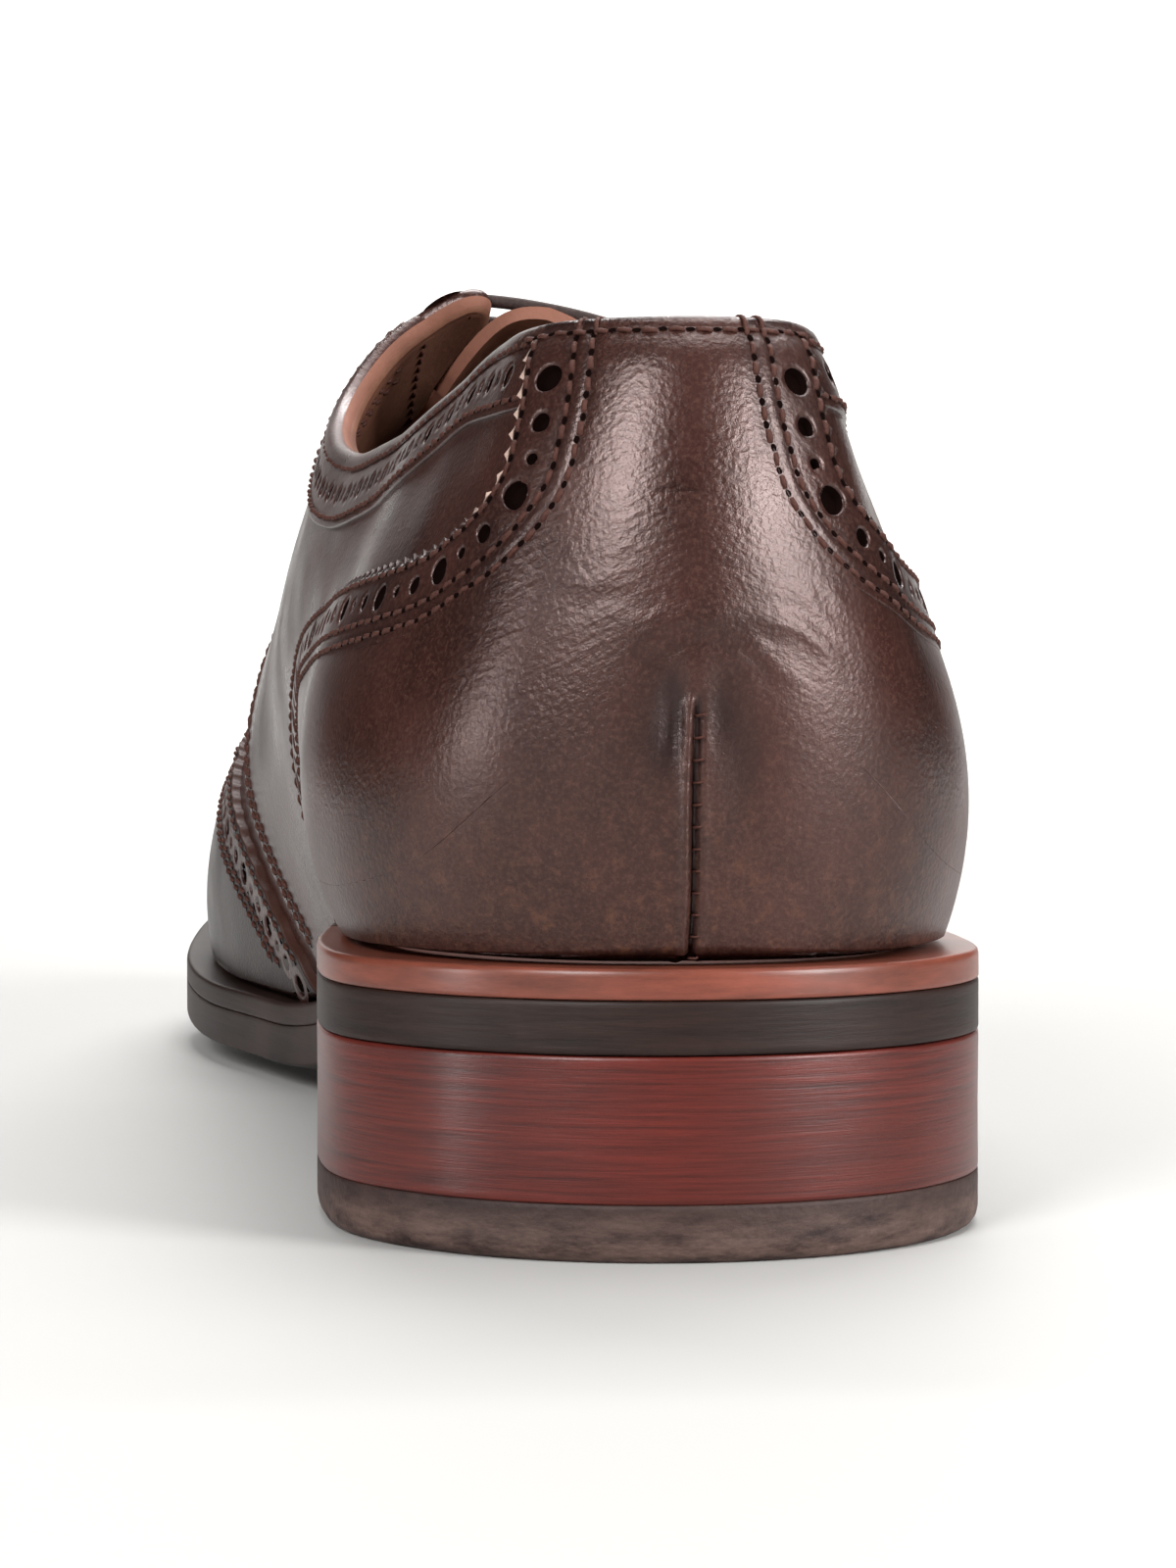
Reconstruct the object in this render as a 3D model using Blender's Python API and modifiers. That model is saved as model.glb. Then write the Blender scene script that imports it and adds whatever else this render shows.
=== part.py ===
import bpy
import bmesh
import numpy as np

for old in list(bpy.data.objects):
    bpy.data.objects.remove(old, do_unlink=True)

# Right shoe. All sizes in millimetres, from the back of the heel along +Y, lateral side at +X.
MM = 0.001
CENTRE_X = 2.237
CENTRE_Y = 149.996
SOLE_LENGTH = 302.0
LIFT_HEIGHT = 5.8
STACK_HEIGHT = 14.4
SOLE_THICKNESS = 5.4
WELT_THICKNESS = 3.1
SEAT_HEIGHT = LIFT_HEIGHT + STACK_HEIGHT
SEAM = 0.3
BREAST_AT = 70.0
BREAST_HOLLOW = 3.0
LIFT_BEVEL = 0.9
SHANK_START = 72.0
SHANK_END = 164.0
SPRING_START = 188.0
TOE_SPRING = 15.0
EDGE_CAMBER = 3.0
CAMBER_START = 100.0
CAMBER_END = 160.0
FLAT_SHARE = 0.42
HEEL_MARGIN = 5.6
TOE_MARGIN = 6.0
WELT_DEPTH = 11.0
RAND_END = 0.305
INSOLE_THICKNESS = 2.6
INSOLE_GAP = 0.9
WALL = 2.0
LEATHER = 0.9
OVERLAY = 0.4
OUTER_OVERLAY = 1.95
FOOT_CLEARANCE = 0.2
FOOT_LEAN = 0.6
TONGUE_DROP = 2.9
TONGUE_EASE = 4.2
TONGUE_THICKNESS = 1.8
TONGUE_START = 0.452
TONGUE_END = 0.605
TONGUE_HALF = 21.0
LACE_RADIUS = 0.9
LACE_ROWS = 5
LACE_HALF = 13.5
LACE_LIFT = 0.8
COLLAR_BAND = 9.0
BAND_START = 0.083
BAND_STOP = 0.003
THROAT_START = 17 / 36
THROAT_END = 21 / 36
THROAT_HALF = 8.0
COUNTER_CENTRE = -0.0075
COLUMNS = 72
BROWN = (0.045, 0.022, 0.018)
DARK = (0.03, 0.018, 0.016)
TAN = (0.36, 0.16, 0.08)
RED = (0.16, 0.035, 0.025)

# One row for each section from heel (0) to toe (1), with the two half widths of the sole, the
# welt margin, where its rib meets the ridge, how full the rib is, and how far the wall swells.
SECTION = ("station", "lateral", "medial", "margin", "ridge", "fullness", "swell_l", "swell_m", "undercut")
SECTIONS = (
    (0.00, 0.0, 0.0, 0.0, 52.0, 3.00, 5.8, 5.8, 0.44),
    (0.06, 13.5, 13.5, 2.0, 52.0, 2.45, 6.4, 6.4, 0.40),
    (0.12, 25.0, 25.2, 4.2, 53.0, 1.68, 8.0, 8.4, 0.36),
    (0.18, 32.5, 33.2, 5.8, 57.0, 1.40, 8.6, 10.2, 0.33),
    (0.24, 34.5, 35.0, 6.2, 65.0, 1.38, 9.2, 11.7, 0.33),
    (0.30, 34.6, 33.2, 5.8, 77.0, 1.48, 8.0, 11.4, 0.38),
    (0.36, 34.6, 29.6, 4.8, 93.0, 1.76, 6.4, 12.2, 0.48),
    (0.42, 36.4, 27.4, 3.6, 112.0, 2.15, 4.6, 13.8, 0.56),
    (0.48, 41.6, 30.0, 3.4, 134.0, 2.35, 3.7, 12.1, 0.56),
    (0.54, 48.0, 37.4, 4.2, 159.0, 2.35, 3.0, 7.2, 0.52),
    (0.60, 51.8, 44.6, 5.0, 184.0, 2.25, 2.6, 3.6, 0.48),
    (0.66, 50.2, 47.4, 5.4, 208.0, 2.20, 2.4, 2.4, 0.46),
    (0.72, 44.4, 45.6, 5.6, 230.0, 2.25, 2.2, 2.2, 0.46),
    (0.78, 35.8, 40.6, 5.6, 248.0, 2.30, 2.0, 2.0, 0.46),
    (0.84, 26.0, 34.2, 5.2, 261.0, 2.35, 1.8, 1.8, 0.46),
    (0.90, 15.8, 25.6, 3.8, 269.0, 2.40, 1.8, 1.8, 0.46),
    (0.96, 3.6, 13.6, 1.4, 273.0, 2.40, 1.8, 1.8, 0.46),
    (1.00, -5.0, 5.0, 0.0, 274.0, 2.40, 1.8, 1.8, 0.46),
)

# The ridge over the instep, and its run on above the collar: place along, place across, height, slant.
RIDGE = ("along", "across", "height", "slant")
RIDGES = (
    (52.0, 0.0, 112.0, 0.00),
    (72.0, 0.0, 113.0, 0.02),
    (92.0, 0.0, 114.5, 0.10),
    (112.0, -0.2, 113.2, 0.22),
    (132.0, -0.8, 105.6, 0.28),
    (154.0, -1.8, 95.0, 0.27),
    (178.0, -2.8, 81.0, 0.20),
    (204.0, -3.8, 68.0, 0.12),
    (230.0, -4.5, 58.6, 0.06),
    (252.0, -5.0, 52.4, 0.02),
    (274.0, -5.0, 47.0, 0.00),
)

# Height of the collar edge on each side, by section.
TOPLINE = ("station", "lateral", "medial")
TOPLINES = (
    (0.00, 91.4, 91.4),
    (0.08, 91.2, 91.2),
    (0.14, 90.0, 90.2),
    (0.20, 86.6, 87.4),
    (0.26, 82.4, 84.4),
    (0.32, 79.4, 82.6),
    (0.37, 78.8, 82.4),
    (0.41, 81.5, 85.4),
    (0.445, 88.5, 92.0),
    (0.4722, 100.5, 102.5),
)

# Reach of the counter round the heel at each height.
COUNTER = ("height", "reach")
COUNTERS = (
    (29.0, 0.425),
    (38.0, 0.420),
    (46.0, 0.410),
    (53.0, 0.395),
    (58.8, 0.372),
    (62.6, 0.340),
    (65.7, 0.270),
    (68.1, 0.165),
    (71.9, 0.109),
    (75.6, 0.0875),
    (80.0, 0.081),
    (92.0, 0.0795),
)

# Front edge of a quarter, from the welt (0) to the throat (1), and back edge of the wing cap.
FRONT = ("share", "reach")
FRONTS = ((0.0, 0.482), (0.1, 0.515), (0.22, 0.549), (0.38, 0.573), (0.6, 0.583), (0.85, 0.578),
          (1.0, 0.562))
WING = ("rise", "reach")
WINGS = ((0.0, 0.500), (0.1, 0.539), (0.22, 0.582), (0.35, 0.625), (0.5, 0.673), (0.66, 0.715), (0.8, 0.735),
         (0.92, 0.715), (1.0, 0.690))


def curve(at, columns, rows, name, flat=""):
    """Smooth curve through one column of a table; level at the ends named in flat."""
    table = np.array(rows)
    knots, values = table[:, 0], table[:, columns.index(name)]
    at = np.clip(np.asarray(at, float), knots[0], knots[-1])
    slopes = np.gradient(values, knots)
    if "start" in flat:
        slopes[0] = 0
    if "end" in flat:
        slopes[-1] = 0
    i = np.clip(np.searchsorted(knots, at) - 1, 0, len(knots) - 2)
    gap = knots[i + 1] - knots[i]
    u = (at - knots[i]) / gap
    return ((1 + 2 * u) * (1 - u) ** 2 * values[i] + u * (1 - u) ** 2 * gap * slopes[i]
            + u * u * (3 - 2 * u) * values[i + 1] + u * u * (u - 1) * gap * slopes[i + 1])


def section(name, k):
    level = "" if name in ("lateral", "medial", "margin") else "start end"
    return curve(k, SECTION, SECTIONS, name, level)


def ridge(name, y):
    return curve(y, RIDGE, RIDGES, name, "start")


def ease(x, start, end):
    u = np.clip((x - start) / (end - start), 0, 1)
    return u * u * (3 - 2 * u)


def share_along(k):
    return (1 - np.cos(np.pi * k)) / 2


def sole_bottom(y):
    spring = np.clip((y - SPRING_START) / (SOLE_LENGTH - SPRING_START), 0, None)
    return SEAT_HEIGHT * (1 - ease(y, SHANK_START, SHANK_END)) + TOE_SPRING * spring ** 2


def edge_lift(y):
    return EDGE_CAMBER * ease(y, CAMBER_START, CAMBER_END)


def sole_edge(a):
    k = np.abs(a)
    x = np.where(a >= 0, section("lateral", k), -section("medial", k))
    return x, SOLE_LENGTH * share_along(k)


def sole_point(a, r):
    """Plan point of the sole: a runs round the edge from the heel, r from the middle line out."""
    k = np.abs(a)
    x, y = sole_edge(a)
    middle = section("ridge", k)
    cx = ridge("across", middle)
    return cx + (x - cx) * r, middle + (y - middle) * r


def sole_reach(a):
    x, y = sole_edge(a)
    mx, my = sole_point(a, 0.0)
    return np.hypot(x - mx, y - my)


def sole_height(y, r):
    camber = np.clip((r - FLAT_SHARE) / (1 - FLAT_SHARE), 0, None)
    return sole_bottom(y) + edge_lift(y) * camber


def feather(a):
    k = np.abs(a)
    margin = section("margin", k)
    x = np.where(a >= 0, section("lateral", k) - margin, margin - section("medial", k))
    y = HEEL_MARGIN + (SOLE_LENGTH - HEEL_MARGIN - TOE_MARGIN) * share_along(k)
    return x, y, sole_bottom(y) + edge_lift(y) + SOLE_THICKNESS + WELT_THICKNESS + SEAM


def last(a, t):
    """Point of the lasted upper: a runs round the foot from the heel, t climbs from welt to ridge."""
    a, t = np.broadcast_arrays(np.asarray(a, float), np.asarray(t, float))
    k = np.abs(a)
    bx, by, bz = feather(a)
    ty = section("ridge", k)
    tx, tz = ridge("across", ty), ridge("height", ty)
    slope = (ridge("height", ty + 1) - ridge("height", ty - 1)) / 2
    turn = np.pi / 2 * (1 - t)
    power = 2 / section("fullness", k)
    out = np.abs(np.sin(turn)) ** power
    rise = np.abs(np.cos(turn)) ** power
    reach = np.hypot(bx - tx, by - ty)
    ux, uy = (bx - tx) / reach, (by - ty) / reach
    side = ease(a, -0.06, 0.06)
    swell = side * section("swell_l", k) + (1 - side) * section("swell_m", k)
    tuck = np.clip(1 - rise / section("undercut", k), 0, None) ** 2
    lean = (slope * uy - ridge("slant", ty) * ux) * (reach + swell)
    plan = (reach + swell) * out - swell * tuck
    return np.stack([tx + ux * plan, ty + uy * plan, tz + lean * out - (tz - bz + lean) * (1 - rise)], -1)


def skin(a, t, offset):
    """Point at a set distance outside the lasted upper."""
    a, t = np.broadcast_arrays(np.asarray(a, float), np.asarray(t, float))
    step = 5e-4
    inner = np.clip(t, step, 1 - 2 * step)
    round_ = last(a + step, inner) - last(a - step, inner)
    climb = last(a, inner + step) - last(a, inner - step)
    n = np.cross(round_, climb)
    return last(a, t) + offset * n / np.linalg.norm(n, axis=-1, keepdims=True)


def climb_to(a, reached):
    low, high = np.zeros_like(a), np.ones_like(a)
    for _ in range(40):
        middle = (low + high) / 2
        under = reached(last(a, middle))
        low, high = np.where(under, middle, low), np.where(under, high, middle)
    return (low + high) / 2


def climb_to_height(a, z):
    a, z = np.broadcast_arrays(np.asarray(a, float), np.asarray(z, float))
    return climb_to(a, lambda p: p[..., 2] < z)


def foot_height(a, offset):
    """Height where an overlay starts, so that its outer face stays clear of the welt."""
    return feather(a)[2] + FOOT_LEAN * offset + FOOT_CLEARANCE


def climb_foot(a, offset):
    return climb_to_height(a, foot_height(a, offset))


def climb_to_ridge(a, distance):
    a, distance = np.broadcast_arrays(np.asarray(a, float), np.asarray(distance, float))
    y = section("ridge", np.abs(a))
    x = ridge("across", y)
    return climb_to(a, lambda p: np.hypot(p[..., 0] - x, p[..., 1] - y) > distance)


def climb_top(a):
    """Where each rib ends: at the collar, along the throat, or on the ridge."""
    a = np.asarray(a, float)
    k = np.abs(a)
    height = np.where(a >= 0, curve(k, TOPLINE, TOPLINES, "lateral", "start"),
                      curve(k, TOPLINE, TOPLINES, "medial", "start"))
    along = np.clip((k - THROAT_START) / (THROAT_END - THROAT_START), 0, 1)
    half = THROAT_HALF * np.sqrt(np.clip(1 - along ** 2.5, 0, None))
    slot = climb_to_ridge(a, half)
    return np.where(k < THROAT_START - 1e-6, climb_to_height(a, height), np.where(along < 1, slot, 1.0))


def grid_faces(rows, columns, closed):
    i, j = np.meshgrid(np.arange(rows - 1), np.arange(columns if closed else columns - 1), indexing="ij")
    n = (j + 1) % columns
    return np.stack([i * columns + j, i * columns + n, (i + 1) * columns + n, (i + 1) * columns + j], -1)


def material(name, colour, roughness):
    made = bpy.data.materials.new(name)
    made.use_nodes = True
    shader = made.node_tree.nodes["Principled BSDF"]
    shader.inputs["Base Color"].default_value = (*colour, 1)
    shader.inputs["Roughness"].default_value = roughness
    made.diffuse_color = (*colour, 1)
    return made


def add_object(name, mesh, colour, roughness):
    mesh.materials.append(material(name, colour, roughness))
    made = bpy.data.objects.new(name, mesh)
    shoe.objects.link(made)
    return made


def to_metres(points):
    points = np.asarray(points, float).reshape(-1, 3)
    return ((points - (CENTRE_X, CENTRE_Y, 0)) * MM).tolist()


def sheet_mesh(name, points, closed=False):
    rows, columns = points.shape[:2]
    mesh = bpy.data.meshes.new(name)
    mesh.from_pydata(to_metres(points), [], grid_faces(rows, columns, closed).reshape(-1, 4).tolist())
    tidy_mesh(mesh)
    return mesh


def tidy_mesh(mesh):
    work = bmesh.new()
    work.from_mesh(mesh)
    bmesh.ops.remove_doubles(work, verts=work.verts, dist=0.00002)
    bmesh.ops.dissolve_degenerate(work, edges=work.edges, dist=0.00001)
    work.to_mesh(mesh)
    work.free()


def shell(name, points, thickness, colour, roughness, closed=False):
    """Sheet of points made solid: a positive thickness grows outwards, a negative one inwards."""
    made = add_object(name, sheet_mesh(name, points, closed), colour, roughness)
    solid = made.modifiers.new("thickness", "SOLIDIFY")
    solid.thickness = abs(thickness) * MM
    solid.offset = 1 if thickness > 0 else -1
    return made


def layers(name, bottom, top, colour, roughness, closed):
    """Solid between two grids of points that share their layout; a closed one meets on its middle line."""
    rows, columns = bottom.shape[:2]
    count = rows * columns
    over = grid_faces(rows, columns, closed).reshape(-1, 4)
    under = over[:, ::-1]
    ring = np.arange(columns)
    rim = (rows - 1) * columns + ring
    if not closed:
        right = np.arange(rows) * columns + columns - 1
        left = np.arange(rows) * columns
        rim = np.concatenate([ring, right[1:], rim[::-1][1:], left[::-1][1:-1]])[::-1]
    following = np.roll(rim, -1)
    walls = np.stack([rim, following, following + count, rim + count], -1)
    faces = np.concatenate([under, over + count, walls])
    points = np.concatenate([bottom.reshape(-1, 3), top.reshape(-1, 3)])
    mesh = bpy.data.meshes.new(name)
    mesh.from_pydata(to_metres(points), [], faces.tolist())
    tidy_mesh(mesh)
    work = bmesh.new()
    work.from_mesh(mesh)
    bmesh.ops.recalc_face_normals(work, faces=work.faces)
    work.to_mesh(mesh)
    work.free()
    return add_object(name, mesh, colour, roughness)


def slab(name, outline, low, high, colour, bevel=0.0):
    """Flat block with a given outline, its lower edge rounded if a bevel is given."""
    points = np.concatenate([np.column_stack([outline, np.full(len(outline), z)]) for z in (low, high)])
    n = len(outline)
    ring = np.arange(n)
    sides = np.stack([ring, np.roll(ring, -1), np.roll(ring, -1) + n, ring + n], -1)
    mesh = bpy.data.meshes.new(name)
    mesh.from_pydata(to_metres(points), [], [ring[::-1].tolist(), (ring + n).tolist()] + sides.tolist())
    work = bmesh.new()
    work.from_mesh(mesh)
    if bevel:
        rim = [e for e in work.edges if all(v.co.z < (low + 0.01) * MM for v in e.verts)]
        bmesh.ops.bevel(work, geom=rim, offset=bevel * MM, segments=1, affect="EDGES", profile=0.5)
    bmesh.ops.recalc_face_normals(work, faces=work.faces)
    work.to_mesh(mesh)
    work.free()
    return add_object(name, mesh, colour, 0.5)


shoe = bpy.data.collections.new("brogue_shoe")
bpy.context.scene.collection.children.link(shoe)

around = np.arange(COLUMNS) / (COLUMNS / 2) - 1
rise = np.array([0, 0.08, 0.17, 0.27, 0.39, 0.53, 0.66, 0.77, 0.86, 0.93, 1.0])[:, None]

# Sole: a plate that follows the shank and the toe spring, cambered towards its edge.
share = np.array([0.0, FLAT_SHARE, 1.0])[:, None]
sx, sy = sole_point(around[None], share)
sz = sole_height(sy, share)
sole_top = sz + SOLE_THICKNESS
layers("outsole", np.stack([sx, sy, sz], -1), np.stack([sx, sy, sole_top], -1), DARK, 0.45, True)

# Heel: stack of lifts and the top lift under the seat, with a slightly hollow breast.
breast_k = np.arccos(1 - 2 * BREAST_AT / SOLE_LENGTH) / np.pi
heel_x, heel_y = sole_edge(np.linspace(-breast_k, breast_k, 33))
hollow = np.linspace(1, -1, 9)[1:-1]
breast_x = (heel_x[-1] + heel_x[0]) / 2 + hollow * (heel_x[-1] - heel_x[0]) / 2
breast_y = BREAST_AT - BREAST_HOLLOW * (1 - hollow ** 2)
heel_outline = np.column_stack([np.append(heel_x, breast_x), np.append(heel_y, breast_y)])
slab("heel_stack", heel_outline, LIFT_HEIGHT, SEAT_HEIGHT - SEAM, RED)
slab("top_lift", heel_outline, 0.0, LIFT_HEIGHT - SEAM, DARK, bevel=LIFT_BEVEL)


def strip(name, a, colour):
    """Strip on the edge of the sole, with a level top for the foot of the upper."""
    inner = 1 - WELT_DEPTH / sole_reach(a)
    r = np.stack([inner, np.ones_like(inner)])
    x, y = sole_point(a[None], r)
    floor = sole_height(y, r) + SOLE_THICKNESS + 1.5 * SEAM
    roof = sole_bottom(y) + edge_lift(y) + SOLE_THICKNESS + WELT_THICKNESS
    layers(name, np.stack([x, y, floor], -1), np.stack([x, y, roof], -1), colour, 0.5, False)


# Welt round the forefoot and rand round the heel, lying on the sole under the edge of the upper.
fore = around[np.abs(around) > RAND_END + 0.004]
fore_half = np.concatenate([[RAND_END + 0.002], np.sort(fore[fore > 0]), [1.0]])
fore_a = np.concatenate([fore_half, -fore_half[::-1][1:]])
strip("welt", fore_a, DARK)
rear = np.concatenate([[-RAND_END], around[np.abs(around) < RAND_END - 0.004], [RAND_END]])
strip("heel_rand", rear, TAN)

# Insole: a thin plate inside the welt, with the camber of the sole under it.
inset = 1 - (WELT_DEPTH + INSOLE_GAP) / sole_reach(around)
ir = np.stack([np.zeros(COLUMNS), inset])
ix, iy = sole_point(around[None], ir)
iz = sole_height(iy, ir) + SOLE_THICKNESS + 2 * SEAM
insole_top = iz + INSOLE_THICKNESS
layers("insole", np.stack([ix, iy, iz], -1), np.stack([ix, iy, insole_top], -1), TAN, 0.7, True)

# Upper: one hollow wall on the last, open at the collar, the throat and underneath.
throat = np.array([15.5, 16.5, 17.5, 18.5]) / (COLUMNS / 2)
ribs = np.sort(np.concatenate([around, throat, -throat]))
shell("upper", last(ribs[None], rise * climb_top(ribs)[None]), -WALL, BROWN, 0.4, closed=True)

# Wing cap: from the toe back to a W-shaped edge with its peak on the ridge.
cap_reach = curve(rise, WING, WINGS, "reach")
cap_half = np.maximum(np.arange(18, COLUMNS // 2 + 1)[None] / (COLUMNS / 2), cap_reach)
cap_a = np.concatenate([cap_half, -cap_half[:, ::-1][:, 1:]], 1)
cap_t = np.maximum(rise * climb_top(cap_a), climb_foot(cap_a, OVERLAY + LEATHER))
shell("toe_cap", skin(cap_a, cap_t, OVERLAY), LEATHER, BROWN, 0.4)

# Quarters: from the back seam to the throat, lapping over the vamp.
for side, name in ((1, "quarter_lateral"), (-1, "quarter_medial")):
    front = curve(rise, FRONT, FRONTS, "reach")
    rear = ribs[(ribs >= 0) & (ribs < THROAT_START + 1e-6)]
    lap = rear[-1] + np.linspace(0, 1, 6)[None, 1:] * (front - rear[-1])
    qa = np.concatenate([np.broadcast_to(rear, (len(rise), len(rear))), lap], 1)
    qa = side * np.maximum(qa, 0.002)
    qt = np.maximum(rise * (climb_top(qa) - 0.002), climb_foot(qa, OVERLAY + LEATHER))
    sheet = skin(qa, qt, OVERLAY)
    shell(name, sheet if side > 0 else sheet[:, ::-1], LEATHER, BROWN, 0.4)

# Counter: round the heel over the quarters, narrow at the collar and wide at the welt.
levels = np.array([29.0, 33, 38, 44, 51, 57.5, 62.5, 65.5, 67.5, 69, 70.7, 73, 76, 80, 86, 92])[:, None]
straight = 46.0
reach = curve(levels, COUNTER, COUNTERS, "reach")
ca = COUNTER_CENTRE + np.linspace(-1, 1, 25)[None] * reach
low = foot_height(ca, OUTER_OVERLAY + LEATHER)
climbed = (levels - levels[0]) / (straight - levels[0])
height = np.where(levels < straight, low + (straight - low) * climbed, levels)
ct = np.minimum(climb_to_height(ca, np.broadcast_to(height, ca.shape)), climb_top(ca) - 0.001)
shell("counter", skin(ca, ct, OUTER_OVERLAY), LEATHER, BROWN, 0.4)

# Collar bands: along the topline of each quarter, from the counter to the throat.
for side, name in ((1, "collar_band_lateral"), (-1, "collar_band_medial")):
    ba = side * np.linspace(BAND_START + side * COUNTER_CENTRE, THROAT_START - BAND_STOP, 200)
    run = last(ba, climb_top(ba))
    run = np.concatenate([[0], np.cumsum(np.linalg.norm(np.diff(run, axis=0), axis=1))])
    ba = np.interp(np.linspace(0, run[-1], 34), run, ba)
    edge = climb_top(ba) - BAND_STOP
    speed = np.linalg.norm(last(ba, edge) - last(ba, edge - 0.01), axis=-1) / 0.01
    bt = edge[None] - np.array([1.0, 0.5, 0.0])[:, None] * COLLAR_BAND / speed[None]
    sheet = skin(ba[None], bt, OUTER_OVERLAY)
    shell(name, sheet if side > 0 else sheet[:, ::-1], LEATHER, BROWN, 0.4)

# Tongue: under the throat, clear of the wall, standing a little short of the facings.
tongue_ribs = np.linspace(TONGUE_START, TONGUE_END, 10)
span = TONGUE_HALF * np.array([1.0, 0.76, 0.52, 0.26, 0.0])
flat_t = np.concatenate([climb_to_ridge(-tongue_ribs[None], span[:, None]),
                         climb_to_ridge(tongue_ribs[None], span[::-1][1:, None])])
flat_a = np.concatenate([np.repeat(-tongue_ribs[None], 5, 0), np.repeat(tongue_ribs[None], 4, 0)])
drop = TONGUE_DROP + TONGUE_EASE * (1 - ease(np.abs(flat_a), THROAT_START, THROAT_END - 0.05))
shell("tongue", skin(flat_a, flat_t, -drop[..., None])[::-1], -TONGUE_THICKNESS, TAN, 0.6)


def lace_path():
    """Bars across the throat, each joined to the next along the facings."""
    path = []
    rows = np.linspace(THROAT_START + 0.008, THROAT_END - 0.026, LACE_ROWS)
    across = LACE_HALF * np.array([1.0, 0.7, 0.37, 0.0])
    lift = OVERLAY + LEATHER + LACE_RADIUS + LACE_LIFT
    for i, k in enumerate(rows):
        near = skin(-k, climb_to_ridge(np.full(4, -k), across), lift)
        far = skin(k, climb_to_ridge(np.full(4, k), across), lift)
        bar = np.concatenate([near, far[::-1][1:]])
        path.append(bar if i % 2 == 0 else bar[::-1])
    return np.concatenate(path)


# Lace: it ends at the top eyelets.
path = lace_path()
cord = bpy.data.curves.new("lace", "CURVE")
cord.dimensions = "3D"
cord.bevel_depth = LACE_RADIUS * MM
cord.bevel_resolution = 1
cord.use_fill_caps = True
line = cord.splines.new("POLY")
line.points.add(len(path) - 1)
for point, place in zip(line.points, to_metres(path)):
    point.co = (*place, 1)
add_object("lace", cord, DARK, 0.6)
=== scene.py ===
import bmesh
import bpy
import numpy as np
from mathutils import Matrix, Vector


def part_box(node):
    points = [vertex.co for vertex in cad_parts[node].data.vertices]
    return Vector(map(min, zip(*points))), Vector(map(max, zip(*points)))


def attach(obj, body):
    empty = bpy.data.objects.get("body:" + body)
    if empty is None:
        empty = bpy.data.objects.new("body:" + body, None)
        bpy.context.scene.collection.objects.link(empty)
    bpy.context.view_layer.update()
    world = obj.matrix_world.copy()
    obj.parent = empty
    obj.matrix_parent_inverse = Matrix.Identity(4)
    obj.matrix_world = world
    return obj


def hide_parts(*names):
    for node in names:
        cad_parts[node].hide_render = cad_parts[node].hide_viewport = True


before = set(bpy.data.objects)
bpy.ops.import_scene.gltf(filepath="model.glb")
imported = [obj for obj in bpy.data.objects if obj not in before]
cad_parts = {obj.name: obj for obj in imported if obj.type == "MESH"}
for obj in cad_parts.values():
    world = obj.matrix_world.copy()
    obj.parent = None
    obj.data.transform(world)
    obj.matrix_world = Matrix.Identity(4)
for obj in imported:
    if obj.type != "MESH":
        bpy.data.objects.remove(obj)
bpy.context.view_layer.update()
print("frame loaded:", len(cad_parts), "nodes")

# sizes in millimetres from the back of the heel: toe along +Y, lateral side at +X
shoe = {
    "centreX": 2.237,
    "centreY": -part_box("outsole")[0].y * 1000,
    "length": 302.0,
    "seat": 20.2,
    "sole": 5.4,
    "welt": 3.1,
    "seam": 0.3,
    "shank": (72.0, 164.0),
    "spring": (188.0, 15.0),  # where the toe starts to rise, and how far
    "camber": (3.0, 100.0, 160.0),  # rise of the sole's edge, and the stretch where it grows
    "flatShare": 0.42,
    "margins": (5.6, 6.0),  # sole past the last at heel and toe
    "throat": (17 / 36, 21 / 36, 8.0),  # start, end and half width
    "facingEnd": 0.556,
    "corner": (5.0, 55.0),  # radius of the facings' rounded ends, and the throat's length
    "counterCentre": -0.0075,
}

# one row for each section from heel (0) to toe (1)
sectionNames = ("station", "lateral", "medial", "margin", "ridge", "fullness", "swellLateral", "swellMedial", "tuck")
sectionRows = np.array((
    (0.00, 0.0, 0.0, 0.0, 52.0, 3.00, 5.8, 5.8, 0.44),
    (0.06, 13.5, 13.5, 2.0, 52.0, 2.45, 6.4, 6.4, 0.40),
    (0.12, 25.0, 25.2, 4.2, 53.0, 1.68, 8.0, 8.4, 0.36),
    (0.18, 32.5, 33.2, 5.8, 57.0, 1.40, 8.6, 10.2, 0.33),
    (0.24, 34.5, 35.0, 6.2, 65.0, 1.38, 9.2, 11.7, 0.33),
    (0.30, 34.6, 33.2, 5.8, 77.0, 1.48, 8.0, 11.4, 0.38),
    (0.36, 34.6, 29.6, 4.8, 93.0, 1.76, 6.4, 12.2, 0.48),
    (0.42, 36.4, 27.4, 3.6, 112.0, 2.15, 4.6, 13.8, 0.56),
    (0.48, 41.6, 30.0, 3.4, 134.0, 2.35, 3.7, 12.1, 0.56),
    (0.54, 48.0, 37.4, 4.2, 159.0, 2.35, 3.0, 7.2, 0.52),
    (0.60, 51.8, 44.6, 5.0, 184.0, 2.25, 2.6, 3.6, 0.48),
    (0.66, 50.2, 47.4, 5.4, 208.0, 2.20, 2.4, 2.4, 0.46),
    (0.72, 44.4, 45.6, 5.6, 230.0, 2.25, 2.2, 2.2, 0.46),
    (0.78, 35.8, 40.6, 5.6, 248.0, 2.30, 2.0, 2.0, 0.46),
    (0.84, 26.0, 34.2, 5.2, 261.0, 2.35, 1.8, 1.8, 0.46),
    (0.90, 15.8, 25.6, 3.8, 269.0, 2.40, 1.8, 1.8, 0.46),
    (0.96, 3.6, 13.6, 1.4, 273.0, 2.40, 1.8, 1.8, 0.46),
    (1.00, -5.0, 5.0, 0.0, 274.0, 2.40, 1.8, 1.8, 0.46),
))
ridgeNames = ("along", "across", "height", "slant")
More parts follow.
